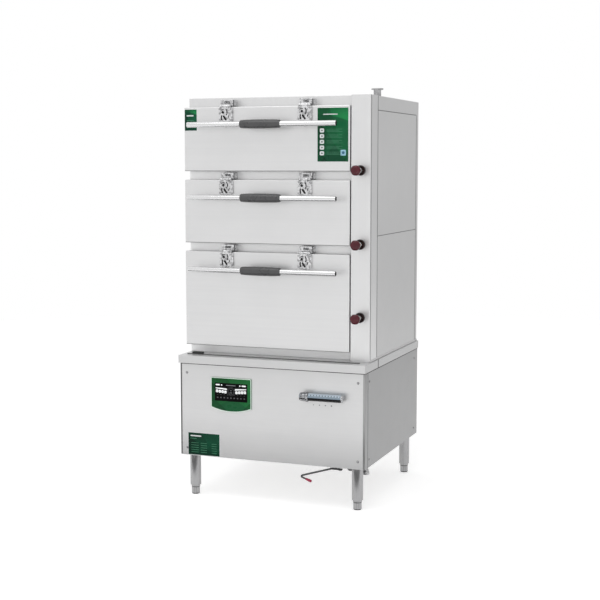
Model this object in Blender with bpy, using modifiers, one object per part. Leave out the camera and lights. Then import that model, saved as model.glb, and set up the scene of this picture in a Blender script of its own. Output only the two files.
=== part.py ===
# Three-door seafood steamer cabinet: an induction-heated water base under three steam chambers.
# Metres. X runs to the right, Y to the back and Z up; the origin is on the floor under the middle.

import math

import bmesh
import bpy
from mathutils import Matrix, Vector

# Clearances and sheets
GAP = 0.0003
OVERRUN = 0.002
PANEL_SHEET = 0.0015
EDGE_ROUND = 0.0015
EDGE_BREAK = 0.0005
WELD_DISTANCE = 0.00001
SEAM_WELD = 0.00005

# Base cabinet
BASE_WIDTH = 0.900
BASE_DEPTH = 0.850
BASE_HEIGHT = 0.434
FLOOR_CLEARANCE = 0.194
CORNER_RADIUS = 0.010
FRONT_WRAP = 0.037
PANEL_SEAM = 0.001
RIM_HEIGHT = 0.036
RIM_SIDE_OVERHANG = 0.004
RIM_FRONT_OVERHANG = 0.015
TRAY_SHEET = 0.0015
FLOOR_RECESS = 0.020
FLOOR_SHEET = 0.002
FRAME_BAR = 0.020
FRAME_INSET = 0.004

# Upper cabinet
UPPER_SETBACK = 0.0726
UPPER_LIFT = 0.008
BOTTOM_RAIL = 0.032
HEADER_HEIGHT = 0.044
DOOR_STRIP = 0.039
DUCT_WIDTH = 0.095
DOOR_THICKNESS = 0.050
DOOR_HEIGHTS = {"bottom": 0.438, "middle": 0.290, "top": 0.290}
DOOR_SHEET = 0.0012
DOOR_ROUND = 0.003
SEAL_GAP = 0.005
SEAL_WIDTH = 0.014
SEAL_INSET = 0.010
POST_GAP = 0.0045
POST_ROUND = 0.003
FRAME_SHEET = 0.0015
OPENING_SIDE_MARGIN = 0.035
OPENING_END_MARGIN = 0.030
CHAMBER_SHEET = 0.0012
CHAMBER_BACK_SPACE = 0.065
PLINTH_INSET = 0.012
PLINTH_WIDTH = 0.020

# Side covers and duct post
DUCT_SIDE_LENGTH = 0.102
COVER_REAR_MARGIN = 0.045
COVER_TOP_MARGIN = 0.0655
COVER_LOWER_HEIGHT = 0.5504
COVER_SEAM = 0.0015

# Door hinges
HINGE_SPACING = 0.383
HINGE_AXIS_FRONT = 0.0075
HINGE_AXIS_RISE = 0.004
KNUCKLE_RADIUS = 0.006
KNUCKLE_LENGTH = 0.030
PIN_RADIUS = 0.003
LEAF_WIDTH = 0.068
LEAF_HEIGHT = 0.064
LEAF_THICKNESS = 0.009
BRACKET_WIDTH = 0.065
BRACKET_HEIGHT = 0.031
BRACKET_RISE = 0.002
EAR_WIDTH = 0.012
EAR_RISE = 0.003
LEAF_DROP = 0.002
LEAF_HOLE_RADIUS = 0.0045
LEAF_SLOT_WIDTH = 0.005
LEAF_SLOT_LENGTH = 0.022
BRACKET_SETBACK = 0.012
SPRING_TURNS = 4
SPRING_POINTS_PER_TURN = 8
SPRING_WIRE_RADIUS = 0.0008
SPRING_COIL_RADIUS = 0.0038
SPRING_PITCH = 0.005
SPINDLE_RADIUS = 0.0024
SPRING_WINDOW_DEPTH = 0.0105

# Door handles
BAR_RADIUS = 0.0125
BAR_WALL = 0.002
BAR_END_MARGIN = 0.0445
BAR_STANDOFF = 0.060
BAR_DROP = 0.080
BAR_POST_RADIUS = 0.008
BAR_FOOT_RADIUS = 0.012
BAR_FOOT_THICKNESS = 0.004
GRIP_LENGTH = 0.192
GRIP_END_RADIUS = 0.0175
GRIP_MIDDLE_RADIUS = 0.0205

# Steam valves
KNOB_LOWEST_RISE = 0.1925
KNOB_PITCH = 0.325
KNOB_RADIUS = 0.0232
KNOB_THICKNESS = 0.022
KNOB_REACH = 0.085
KNOB_LOBES = 6
KNOB_LOBE_DEPTH = 0.0018
KNOB_HUB_RADIUS = 0.013
KNOB_HUB_LENGTH = 0.008
KNOB_STEM_RADIUS = 0.005
KNOB_STEM_LENGTH = 0.020
COLLAR_RADIUS = 0.021
COLLAR_THICKNESS = 0.013
BONNET_RADIUS = 0.009
BONNET_REACH = 0.048
RISER_RADIUS = 0.017
RISER_BORE_RADIUS = 0.014
RISER_RISE = 0.040
RISER_FLANGE_RADIUS = 0.0275
RISER_FLANGE_THICKNESS = 0.006
RISER_SIDE_INSET = 0.051
RISER_SETBACK = 0.255
VALVE_SETBACK = 0.105
BRANCH_RADIUS = 0.010
VALVE_RADIUS = 0.016

# Legs and feet
LEG_INSET = 0.0495
LEG_RADIUS = 0.0255
LEG_WALL = 0.0015
LEG_FLANGE = 0.078
LEG_FLANGE_THICKNESS = 0.004
LEG_PLUG_HEIGHT = 0.020
FOOT_HEIGHT = 0.044
FOOT_RADIUS = 0.019
FOOT_CHAMFER = 0.003
FOOT_COLLAR_RADIUS = 0.021
FOOT_COLLAR_HEIGHT = 0.008
FOOT_STEM_RADIUS = 0.008
FOOT_STEM_LENGTH = 0.016

# Control panel on the base front
PANEL_CENTRE_FROM_LEFT = 0.257
PANEL_TOP_FROM_RIM = 0.0943
PANEL_WIDTH = 0.202
PANEL_SIDE_HEIGHT = 0.140
PANEL_ARCH = 0.019
PANEL_THICKNESS = 0.004
PANEL_ROUND = 0.006
MODULE_WIDTH = 0.150
MODULE_HEIGHT = 0.080
MODULE_DEPTH = 0.028

# Power slider on the base front
SLIDER_LEFT_FROM_RIGHT = 0.300
SLIDER_DROP = 0.116
SLIDER_TUBE_RADIUS = 0.017
SLIDER_TUBE_LENGTH = 0.196
SLIDER_CAP_RADIUS = 0.0145
SLIDER_CAP_LENGTH = 0.016
SLIDER_STANDOFF = 0.030
SLIDER_POST_RADIUS = 0.004
RING_RADIUS = 0.0222
RING_WAIST_RADIUS = 0.0205
RING_LENGTH = 0.038
RING_INSET = 0.0005
RING_BORE_CLEARANCE = 0.0004
SLIDER_TRAVEL = 0.145

# Water tank, heater and drain
TANK_OVER_INVERTER = 0.0459
TANK_SHEET = 0.0015
TANK_SIDE_CLEARANCE = 0.006
TANK_SETBACK = 0.215
TANK_REAR_CLEARANCE = 0.030
COIL_OUTER_RADIUS = 0.170
COIL_INNER_RADIUS = 0.045
COIL_THICKNESS = 0.014
COIL_GROOVES = 3
PIPE_RADIUS = 0.011
PIPE_BORE_RADIUS = 0.008
PIPE_BORE_DEPTH = 0.020
PIPE_BEND = 0.026
PIPE_FLANGE_RADIUS = 0.022
PIPE_FLANGE_THICKNESS = 0.006
DRAIN_DROP = 0.009
DRAIN_SETBACK = 0.095
DRAIN_OUTLET_DROP = 0.034
DRAIN_DOWNPIPE_FROM_RIGHT = 0.210
DRAIN_DOWNPIPE_SETBACK = 0.305
DRAIN_VALVE_FROM_RIGHT = 0.147
DRAIN_OUTLET_FROM_RIGHT = 0.021
VALVE_BODY_RADIUS = 0.0165
VALVE_BODY_LENGTH = 0.052
VALVE_STEM_RADIUS = 0.005
VALVE_STEM_LENGTH = 0.010
LEVER_PLATE_LENGTH = 0.062
LEVER_PLATE_WIDTH = 0.022
LEVER_PLATE_THICKNESS = 0.0045
LEVER_NUT_RADIUS = 0.009
LEVER_NUT_THICKNESS = 0.004
LEVER_CLEARANCE = 0.002
LEVER_REACH = 0.182
LEVER_BEND_FORWARD = 0.045
LEVER_BEND_DROP = 0.036
LEVER_TIP_RETURN = 0.063
LEVER_TIP_FORWARD = 0.055
LEVER_TIP_DROP = 0.054
LEVER_BEND_RADIUS = 0.006
LEVER_ROD_RADIUS = 0.0035
LEVER_TIP_RADIUS = 0.0065
LEVER_TIP_LENGTH = 0.030

# Inverter, fan and fittings
INVERTER_SIZE = (0.340, 0.280, 0.100)
INVERTER_LEFT_CLEARANCE = 0.030
INVERTER_SHEET = 0.002
INVERTER_SLOTS = 6
FAN_SHROUD_DEPTH = 0.030
FAN_MOTOR_DEPTH = 0.010
FAN_SHROUD_SIZE = 0.090
FAN_RADIUS = 0.040
FAN_CLEARANCE = 0.002
FAN_HUB_RADIUS = 0.014
FAN_SHAFT_RADIUS = 0.003
FAN_BLADES = 7
FAN_BLADE_THICKNESS = 0.0016
GRILLE_SLOTS = 7
GRILLE_SLOT_HEIGHT = 0.005
GRILLE_SLOT_WIDTH = 0.090
GRILLE_PITCH = 0.012
FITTING_FLANGE_RADIUS = 0.022
FITTING_FLANGE_THICKNESS = 0.006
FITTING_SPIGOT_RADIUS = 0.0105
FITTING_REACH = 0.030
FITTING_STUB_RADIUS = 0.0135
FITTING_BORE_RADIUS = 0.006
GLAND_SPACING = 0.072
SERVICE_PLATE_WIDTH = 0.060
SERVICE_PLATE_THICKNESS = 0.003
SERVICE_PLATE_MARGIN = 0.030
INLET_FROM_RIGHT = 0.150
INLET_DROP = 0.056
SUPPLY_RADIUS = 0.0085
FLOAT_ARM_LENGTH = 0.150
FLOAT_ARM_RADIUS = 0.003
FLOAT_RADIUS = 0.030
FLOAT_DROP_DEG = 28.0
FLOAT_BLOCK = 0.024
FLOAT_PIVOT_SETBACK = 0.048
FLOAT_FORK_SLOT = 0.008
FLOAT_PIN_RADIUS = 0.0025
FLOAT_HUB_RADIUS = 0.006
FLOAT_HUB_WIDTH = 0.006

# Inside the doors
LINER_DEPTH = 0.012
LINER_PLAY = 0.0008

# Steam inlets of the chambers
INLET_RISE = 0.028
INLET_BEND = 0.015
INSULATION_PLAY = 0.0006

# Racks
RACK_CLEARANCE = 0.009
RACK_HEIGHT = 0.050
RACK_SHEET = 0.002
RACK_SLOTS = 7
RACK_SLOT_WIDTH = 0.030

# Shares of a size
arm_share = 0.95
blade_share = 0.8
collar_face_share = 0.7
collar_shoulder_share = 0.72
dome_share = 0.6
hole_drop_share = 0.34
hole_side_share = 0.16
knob_edge_share = 0.9
knob_face_share = 0.55
knob_round_share = 0.33
land_share = 0.7
neck_share = 0.75
ring_crest_far_share = 0.38
ring_crest_near_share = 0.12
slot_drop_share = 0.60
slot_side_share = 0.10
spring_height_share = 0.6
spring_lead_share = 0.25
tip_share = 0.6
web_share = 0.75
BLADE_TILT_DEG = 35.0
LEAF_SLOT_TILT_DEG = -35.0
GRIP_STEPS = 6

# Places that follow from the sizes
ring_reach = SLIDER_STANDOFF + RING_RADIUS
middle_y = (ring_reach - FITTING_REACH) / 2
base_front = middle_y - BASE_DEPTH / 2
base_rear = middle_y + BASE_DEPTH / 2
base_bottom = FLOOR_CLEARANCE
base_top = base_bottom + BASE_HEIGHT
rim_top = base_top + RIM_HEIGHT
rim_under = rim_top - TRAY_SHEET - GAP
base_half = BASE_WIDTH / 2
rim_half = base_half + RIM_SIDE_OVERHANG

upper_left = -rim_half
upper_right = upper_left + BASE_WIDTH
upper_bottom = rim_top + UPPER_LIFT
door_front = base_front + UPPER_SETBACK
door_back = door_front + DOOR_THICKNESS
frame_front = door_back + SEAL_GAP
frame_back = frame_front + FRAME_SHEET
upper_rear = base_rear
door_left = upper_left
door_right = upper_right - DUCT_WIDTH
door_middle_x = (door_left + door_right) / 2
post_left = door_right + POST_GAP

door_bottoms = {}
next_bottom = upper_bottom + BOTTOM_RAIL
for door_name, door_height in DOOR_HEIGHTS.items():
    door_bottoms[door_name] = next_bottom
    next_bottom += door_height + DOOR_STRIP
upper_top = next_bottom - DOOR_STRIP + HEADER_HEIGHT

casing_side = upper_right - PANEL_SHEET - GAP
opening_left = door_left + OPENING_SIDE_MARGIN
opening_right = door_right - OPENING_SIDE_MARGIN
chamber_rear = upper_rear - CHAMBER_BACK_SPACE
duct_side_end = door_front + DUCT_SIDE_LENGTH
cover_rear = upper_rear - COVER_REAR_MARGIN
cover_top = upper_top - COVER_TOP_MARGIN
cover_split = upper_bottom + COVER_LOWER_HEIGHT
riser_x = upper_right - RISER_SIDE_INSET
riser_y = door_front + RISER_SETBACK
valve_y = door_front + VALVE_SETBACK
knob_x = (post_left + upper_right) / 2
knob_heights = {}
for knob_number, knob_name in enumerate(DOOR_HEIGHTS):
    knob_heights[knob_name] = upper_bottom + KNOB_LOWEST_RISE + KNOB_PITCH * knob_number
floor_under = base_bottom + FLOOR_RECESS
floor_top = floor_under + FLOOR_SHEET
frame_half = base_half - PANEL_SHEET - FRAME_INSET
frame_low_y = base_front + PANEL_SHEET + FRAME_INSET
frame_high_y = base_rear - PANEL_SHEET - FRAME_INSET
tank_half = frame_half - FRAME_BAR - TANK_SIDE_CLEARANCE
tank_front = base_front + TANK_SETBACK
tank_rear = frame_high_y - FRAME_BAR - TANK_REAR_CLEARANCE
tank_top = rim_under
tank_bottom = floor_top + GAP + INVERTER_SIZE[2] + TANK_OVER_INVERTER
slider_left = base_half - SLIDER_LEFT_FROM_RIGHT
slider_y = base_front - SLIDER_STANDOFF
slider_z = base_top - SLIDER_DROP
slider_right = slider_left + SLIDER_TUBE_LENGTH
drain_down_x = base_half - DRAIN_DOWNPIPE_FROM_RIGHT
drain_valve_x = base_half - DRAIN_VALVE_FROM_RIGHT
drain_outlet_x = base_half - DRAIN_OUTLET_FROM_RIGHT
inlet_x = base_half - INLET_FROM_RIGHT
inlet_z = base_top - INLET_DROP
gland_z = inlet_z - GLAND_SPACING
drain_z = base_bottom - DRAIN_DROP
bar_length = door_right - door_left - 2 * BAR_END_MARGIN

# Directions a turned or extruded piece can point in, as rotations that carry +Z there
UP = (0.0, 0.0, 0.0)
FRONT = (math.pi / 2, 0.0, 0.0)
REAR = (-math.pi / 2, 0.0, 0.0)
RIGHT = (0.0, math.pi / 2, 0.0)
DOWN = (math.pi, 0.0, 0.0)

# Finishes: colour, roughness, metallic
FINISHES = {
    "brushed_steel": ((0.72, 0.72, 0.72), 0.38, 0.9),
    "side_steel": ((0.50, 0.50, 0.50), 0.42, 0.9),
    "chrome": ((0.80, 0.80, 0.82), 0.12, 1.0),
    "tube_steel": ((0.62, 0.62, 0.63), 0.30, 1.0),
    "brass": ((0.70, 0.52, 0.22), 0.30, 1.0),
    "copper": ((0.72, 0.40, 0.24), 0.35, 1.0),
    "grip_rubber": ((0.10, 0.10, 0.105), 0.60, 0.0),
    "seal_rubber": ((0.30, 0.30, 0.30), 0.70, 0.0),
    "knob_plastic": ((0.16, 0.012, 0.02), 0.18, 0.0),
    "lever_plastic": ((0.42, 0.02, 0.05), 0.35, 0.0),
    "panel_plastic": ((0.02, 0.20, 0.07), 0.30, 0.0),
    "slider_glass": ((0.30, 0.36, 0.42), 0.15, 0.6),
    "painted_grey": ((0.30, 0.31, 0.32), 0.50, 0.2),
    "black_plastic": ((0.02, 0.02, 0.022), 0.40, 0.0),
    "rock_wool": ((0.55, 0.48, 0.30), 0.90, 0.0),
    "float_plastic": ((0.75, 0.75, 0.72), 0.45, 0.0),
}

parts = None
cutters = None


def clear_scene():
    for old in list(bpy.data.objects):
        bpy.data.objects.remove(old, do_unlink=True)
    for old in list(bpy.data.collections):
        bpy.data.collections.remove(old)


def make_collection(name):
    collection = bpy.data.collections.new(name)
    bpy.context.scene.collection.children.link(collection)
    return collection


def finish(name):
    if name in bpy.data.materials:
        return bpy.data.materials[name]
    colour, roughness, metallic = FINISHES[name]
    material = bpy.data.materials.new(name)
    material.use_nodes = True
    shader = material.node_tree.nodes["Principled BSDF"]
    shader.inputs["Base Color"].default_value = (*colour, 1.0)
    shader.inputs["Roughness"].default_value = roughness
    shader.inputs["Metallic"].default_value = metallic
    return material


def place_mesh(name, mesh, place=(0.0, 0.0, 0.0), turn=UP, material=None):
    """Put a mesh in the model; without a material it is a cutter."""
    thing = bpy.data.objects.new(name, mesh)
    thing.location = place
    thing.rotation_euler = turn
    if material is None:
        cutters.objects.link(thing)
        thing.hide_render = True
        thing.display_type = "WIRE"
    else:
        parts.objects.link(thing)
        mesh.materials.clear()
        mesh.materials.append(finish(material))
    return thing


def mesh_from(bm, name):
    bmesh.ops.recalc_face_normals(bm, faces=bm.faces)
    mesh = bpy.data.meshes.new(name)
    bm.to_mesh(mesh)
    bm.free()
    return mesh


def middle_of(low, high):
    return [(a + b) / 2 for a, b in zip(low, high)]


def block_mesh(name, size, open_side=None):
    """A block about its centre; open_side names the (axis, sign) of a face to leave out."""
    bm = bmesh.new()
    bmesh.ops.create_cube(bm, size=1.0)
    bmesh.ops.scale(bm, vec=Vector(size), verts=bm.verts)
    if open_side:
        axis, sign = open_side
        lost = [f for f in bm.faces if f.normal[axis] * sign > 0.5]
        bmesh.ops.delete(bm, geom=lost, context="FACES_ONLY")
        mesh = bpy.data.meshes.new(name)
        bm.to_mesh(mesh)
        bm.free()
        return mesh
    return mesh_from(bm, name)


def block(name, low, high, material=None, open_side=None):
    """A block between two corners."""
    size = [b - a for a, b in zip(low, high)]
    return place_mesh(name, block_mesh(name, size, open_side), middle_of(low, high), UP, material)


def cylinder(name, radius, length, place, turn=UP, material=None, sides=20):
    """A cylinder that starts at place and runs along the turned +Z."""
    bm = bmesh.new()
    bmesh.ops.create_cone(bm, cap_ends=True, segments=sides, radius1=radius, radius2=radius, depth=length)
    bmesh.ops.translate(bm, vec=Vector((0.0, 0.0, length / 2)), verts=bm.verts)
    thing = place_mesh(name, mesh_from(bm, name), place, turn, material)
    smooth(thing)
    return thing


def turned(name, profile, place, turn=UP, material=None, steps=20, closed=False):
    """Turn a profile of (radius, height) pairs, listed down the outer side, about +Z."""
    line = bpy.data.meshes.new(name)
    points = [(radius, 0.0, height) for radius, height in profile]
    links = [(i, i + 1) for i in range(len(points) - 1)]
    if closed:
        links.append((len(points) - 1, 0))
    line.from_pydata(points, links, [])
    guide = bpy.data.objects.new(name + "_profile", line)
    bpy.context.scene.collection.objects.link(guide)
    screw = guide.modifiers.new("turn", "SCREW")
    screw.axis = "Z"
    screw.angle = math.tau
    screw.steps = steps
    screw.render_steps = steps
    screw.use_merge_vertices = True
    screw.merge_threshold = SEAM_WELD
    thing = place_mesh(name, solid_mesh(guide), place, turn, material)
    smooth(thing)
    return thing


def smooth(thing, angle_deg=35.0):
    thing.data.shade_smooth()
    thing.data.set_sharp_from_angle(angle=math.radians(angle_deg))


def bevel(thing, width, segments=2, angle_deg=40.0):
    edge = thing.modifiers.new("rounded edges", "BEVEL")
    edge.width = width
    edge.segments = segments
    edge.limit_method = "ANGLE"
    edge.angle_limit = math.radians(angle_deg)
    edge.use_clamp_overlap = True
    return edge


def sheet(thing, thickness):
    """Give an open surface its thickness, towards its inside."""
    wall = thing.modifiers.new("sheet", "SOLIDIFY")
    wall.thickness = thickness
    wall.offset = -1.0
    wall.use_even_offset = True
    return wall


def boolean(thing, tool, operation="DIFFERENCE"):
    step = thing.modifiers.new(operation.lower(), "BOOLEAN")
    step.operation = operation
    step.object = tool
    step.solver = "EXACT"
    return step


def cut(thing, *tools):
    for tool in tools:
        boolean(thing, tool)


def join(thing, *tools):
    for tool in tools:
        boolean(thing, tool, "UNION")


def solid_mesh(thing):
    """The evaluated mesh of an object, welded and in world places; the object is removed."""
    bpy.context.view_layer.update()
    graph = bpy.context.evaluated_depsgraph_get()
    mesh = bpy.data.meshes.new_from_object(thing.evaluated_get(graph))
    mesh.transform(thing.matrix_world)
    bpy.data.objects.remove(thing, do_unlink=True)
    bm = bmesh.new()
    bm.from_mesh(mesh)
    bmesh.ops.remove_doubles(bm, verts=bm.verts, dist=WELD_DISTANCE)
    bm.to_mesh(mesh)
    bm.free()
    return mesh


def rounded_path(corners, radius, steps=6):
    """A line through the corners with each inner corner turned as an arc."""
    corners = [Vector(c) for c in corners]
    path = [corners[0]]
    for before, corner, after in zip(corners, corners[1:], corners[2:]):
        to_before = (before - corner).normalized()
        to_after = (after - corner).normalized()
        half = to_before.angle(to_after) / 2
        reach = radius / math.tan(half)
        centre = corner + (to_before + to_after).normalized() * (radius / math.sin(half))
        first = corner + to_before * reach - centre
        last = corner + to_after * reach - centre
        sweep = first.angle(last)
        for step in range(steps + 1):
            part = step / steps
            arm = (first * math.sin((1 - part) * sweep) + last * math.sin(part * sweep)) / math.sin(sweep)
            path.append(centre + arm)
    path.append(corners[-1])
    return path


def bent_rod(name, path, radius, material=None, resolution=2):
    """A round rod along a path, as a closed mesh."""
    curve = bpy.data.curves.new(name, "CURVE")
    curve.dimensions = "3D"
    curve.bevel_depth = radius
    curve.bevel_resolution = resolution
    curve.use_fill_caps = True
    spline = curve.splines.new("POLY")
    spline.points.add(len(path) - 1)
    for point, where in zip(spline.points, path):
        point.co = (*where, 1.0)
    guide = bpy.data.objects.new(name + "_guide", curve)
    bpy.context.scene.collection.objects.link(guide)
    thing = place_mesh(name, solid_mesh(guide), material=material)
    smooth(thing)
    return thing


def wall_along(name, path, low_z, high_z, thickness, material):
    """A bent sheet: the plan path raised into a wall, its sheet on the path's left side."""
    bm = bmesh.new()
    rows = []
    for height in (low_z, high_z):
        rows.append([bm.verts.new((point[0], point[1], height)) for point in path])
    for i in range(len(path) - 1):
        bm.faces.new((rows[0][i], rows[0][i + 1], rows[1][i + 1], rows[1][i]))
    mesh = bpy.data.meshes.new(name)
    bm.to_mesh(mesh)
    bm.free()
    thing = place_mesh(name, mesh, material=material)
    sheet(thing, thickness)
    return thing


def outline_plate(name, outline, thickness, place, turn, material=None):
    """A flat plate of a drawn outline, its back at place, as a closed mesh."""
    curve = bpy.data.curves.new(name, "CURVE")
    curve.dimensions = "2D"
    curve.fill_mode = "BOTH"
    curve.extrude = thickness / 2
    spline = curve.splines.new("POLY")
    spline.points.add(len(outline) - 1)
    for point, (x, y) in zip(spline.points, outline):
        point.co = (x, y, 0.0, 1.0)
    spline.use_cyclic_u = True
    guide = bpy.data.objects.new(name + "_guide", curve)
    bpy.context.scene.collection.objects.link(guide)
    mesh = solid_mesh(guide)
    mesh.transform(Matrix.Translation((0.0, 0.0, thickness / 2)))
    return place_mesh(name, mesh, place, turn, material)


def pivot(name, place):
    """An empty on a joint's axis, which carries the moving pieces."""
    empty = bpy.data.objects.new(name, None)
    empty.location = place
    empty.empty_display_size = BAR_RADIUS
    parts.objects.link(empty)
    return empty


def carry(empty, *things):
    for thing in things:
        thing.location = Vector(thing.location) - Vector(empty.location)
        thing.parent = empty


# The base cabinet

def build_frame():
    """The welded chassis: four posts, rails round the top, middle and bottom, and two tank bearers."""
    low = (-frame_half, frame_low_y, floor_top + GAP)
    high = (frame_half, frame_high_y, rim_under)
    bar = FRAME_BAR
    left_x = (low[0], low[0] + bar)
    right_x = (high[0] - bar, high[0])
    front_y = (low[1], low[1] + bar)
    rear_y = (high[1] - bar, high[1])
    side_rail_top = tank_bottom - GAP - bar
    bearer_low = side_rail_top - bar / 2
    bars = [((xs[0], ys[0], low[2]), (xs[1], ys[1], high[2])) for xs in (left_x,
                                                                         right_x) for ys in (front_y,
                                                                                             rear_y)]
    for ys in (front_y, rear_y):
        for foot in (low[2], high[2] - bar):
            bars.append(((low[0] + bar / 2, ys[0], foot), (high[0] - bar / 2, ys[1], foot + bar)))
    for xs in (left_x, right_x):
        for foot in (low[2], side_rail_top - bar, high[2] - bar):
            bars.append(((xs[0], low[1] + bar / 2, foot), (xs[1], high[1] - bar / 2, foot + bar)))
    for y in (tank_front, tank_rear - bar):
        bars.append(((low[0] + bar / 2, y, bearer_low), (high[0] - bar / 2, y + bar, tank_bottom - GAP)))
    frame = block("base_frame", *bars[0], "painted_grey")
    join(frame, *[block("frame_bar", *corners) for corners in bars[1:]])
    return frame


def panel_plan(side):
    """Where the side seam lies, and the plan of one wrapped corner; side is -1 or 1."""
    seam_y = base_front + FRONT_WRAP
    return (side * base_half, seam_y), (side * base_half, base_front)


def build_front_panel():
    seam_left, corner_left = panel_plan(-1)
    seam_right, corner_right = panel_plan(1)
    corners = [(*p, 0.0) for p in (seam_left, corner_left, corner_right, seam_right)]
    path = rounded_path(corners, CORNER_RADIUS)
    panel = wall_along("base_front_panel", path, base_bottom, rim_under, PANEL_SHEET, "brushed_steel")
    module = module_corners(GAP)
    window = block("display_window", (module[0][0], base_front - OVERRUN, module[0][2]),
                   (module[1][0], base_front + PANEL_SHEET + OVERRUN, module[1][2]))
    cut(panel, window)
    for number, x in enumerate(slider_post_places()):
        cut(panel, cylinder("slider_hole_%d" % number, SLIDER_POST_RADIUS + GAP, PANEL_SHEET + 2 * OVERRUN,
                            (x, base_front - OVERRUN, slider_z), REAR, sides=16))
    return panel


def build_right_panel():
    low = (base_half - PANEL_SHEET, base_front + FRONT_WRAP + PANEL_SEAM, base_bottom)
    high = (base_half, base_rear, rim_under)
    return block("base_right_panel", low, high, "side_steel")


def build_wrap_panel():
    """The left side and the rear in one bent sheet, with the air grille and two pipe holes."""
    corners = [(base_half - PANEL_SHEET - GAP, base_rear, 0.0), (-base_half, base_rear, 0.0),
               (-base_half, base_front + FRONT_WRAP + PANEL_SEAM, 0.0)]
    path = rounded_path(corners, CORNER_RADIUS)
    panel = wall_along("base_wrap_panel", path, base_bottom, rim_under, PANEL_SHEET, "side_steel")
    for number in range(GRILLE_SLOTS):
        height = fan_height() + (number - (GRILLE_SLOTS - 1) / 2) * GRILLE_PITCH
        slot = block("grille_slot_%d" % number,
                     (fan_x() - GRILLE_SLOT_WIDTH / 2, base_rear - PANEL_SHEET - OVERRUN,
                      height - GRILLE_SLOT_HEIGHT / 2),
                     (fan_x() + GRILLE_SLOT_WIDTH / 2, base_rear + OVERRUN,
                      height + GRILLE_SLOT_HEIGHT / 2))
        cut(panel, slot)
    for height in (gland_z, inlet_z):
        cut(panel, cylinder("fitting_hole", FITTING_SPIGOT_RADIUS + GAP, PANEL_SHEET + 2 * OVERRUN,
                            (inlet_x, base_rear + OVERRUN, height), FRONT, sides=16))
    return panel


def build_tray():
    """The worktop: a shallow turned-down tray whose raised plinth carries the upper cabinet."""
    low = (-rim_half, base_front - RIM_FRONT_OVERHANG, base_top)
    high = (rim_half, base_rear + RIM_SIDE_OVERHANG, rim_top)
    tray = block("worktop_tray", low, high, "brushed_steel", open_side=(2, -1))
    bevel(tray, EDGE_ROUND)
    sheet(tray, TRAY_SHEET)
    outer_low = (upper_left + PLINTH_INSET, frame_front + PLINTH_INSET, rim_top - TRAY_SHEET / 2)
    outer_high = (upper_right - PLINTH_INSET, upper_rear - PLINTH_INSET, upper_bottom - GAP)
    plinth = block("plinth", outer_low, outer_high)
    inner = block("plinth_inside", (outer_low[0] + PLINTH_WIDTH, outer_low[1] + PLINTH_WIDTH, rim_top),
                  (outer_high[0] - PLINTH_WIDTH, outer_high[1] - PLINTH_WIDTH, upper_bottom + OVERRUN))
    cut(plinth, inner)
    join(tray, plinth)
    cut(tray, cylinder("riser_foot_hole", RISER_RADIUS + GAP, PLINTH_WIDTH + TRAY_SHEET,
                       (riser_x, riser_y, rim_top - PLINTH_WIDTH)))
    return tray


def leg_places():
    places = {}
    for end_name, y in (("front", base_front + LEG_INSET), ("rear", base_rear - LEG_INSET)):
        for side_name, x in (("left", -base_half + LEG_INSET), ("right", base_half - LEG_INSET)):
            places["%s_%s" % (end_name, side_name)] = (x, y)
    return places


def build_leg_base():
    """The floor plate with its four leg tubes, each with a flange on top and a threaded plug at its foot."""
    plate = block("leg_base", (-frame_half, frame_low_y, floor_under),
                  (frame_half, frame_high_y, floor_top), "tube_steel")
    flange_low = floor_under - LEG_FLANGE_THICKNESS
    bore = FOOT_STEM_RADIUS + GAP
    inside = LEG_RADIUS - LEG_WALL
    half = LEG_FLANGE / 2
    plug_top = FOOT_HEIGHT + LEG_PLUG_HEIGHT
    profile = [(LEG_RADIUS, flange_low + EDGE_ROUND), (LEG_RADIUS, FOOT_HEIGHT + EDGE_ROUND),
               (LEG_RADIUS - EDGE_ROUND, FOOT_HEIGHT), (bore, FOOT_HEIGHT), (bore, plug_top),
               (inside, plug_top), (inside, flange_low + EDGE_ROUND)]
    for x, y in leg_places().values():
        flange = block("leg_flange", (x - half, y - half, flange_low),
                       (x + half, y + half, floor_under + FLOOR_SHEET / 2))
        join(plate, flange, turned("leg_tube", profile, (x, y, 0.0), steps=16, closed=True))
    pipe_y = base_front + DRAIN_DOWNPIPE_SETBACK
    cut(plate, cylinder("floor_pipe_hole", PIPE_RADIUS + OVERRUN, FLOOR_SHEET + 2 * OVERRUN,
                        (drain_down_x, pipe_y, floor_under - OVERRUN)))
    return plate


def build_feet():
    """Four levelling feet that screw into the legs."""
    for name, (x, y) in leg_places().items():
        top = FOOT_HEIGHT - GAP
        profile = [(0.0, top + FOOT_STEM_LENGTH), (FOOT_STEM_RADIUS, top + FOOT_STEM_LENGTH),
                   (FOOT_STEM_RADIUS, top),
                   (FOOT_COLLAR_RADIUS - EDGE_ROUND, top), (FOOT_COLLAR_RADIUS, top - EDGE_ROUND),
                   (FOOT_COLLAR_RADIUS, top - FOOT_COLLAR_HEIGHT), (FOOT_RADIUS,
                                                                    top - FOOT_COLLAR_HEIGHT - EDGE_ROUND),
                   (FOOT_RADIUS, FOOT_CHAMFER), (FOOT_RADIUS - FOOT_CHAMFER, 0.0), (0.0, 0.0)]
        foot = turned("foot_" + name, profile, (x, y, 0.0), UP, "tube_steel", steps=16)
        carry(pivot("foot_%s_axis" % name, (x, y, 0.0)), foot)


# What the base holds

def build_tank():
    low = (-tank_half, tank_front, tank_bottom)
    high = (tank_half, tank_rear, tank_top)
    tank = block("water_tank", low, high, "tube_steel", open_side=(2, 1))
    sheet(tank, TANK_SHEET)
    drain = cylinder("tank_drain_hole", PIPE_RADIUS, TANK_SHEET + 2 * OVERRUN,
                     (drain_down_x, base_front + DRAIN_DOWNPIPE_SETBACK, tank_bottom - OVERRUN))
    feed = cylinder("tank_feed_hole", SUPPLY_RADIUS + GAP, TANK_SHEET + 2 * OVERRUN,
                    (inlet_x, tank_rear + OVERRUN, inlet_z), FRONT)
    cut(tank, drain, feed)
    return tank


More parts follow.
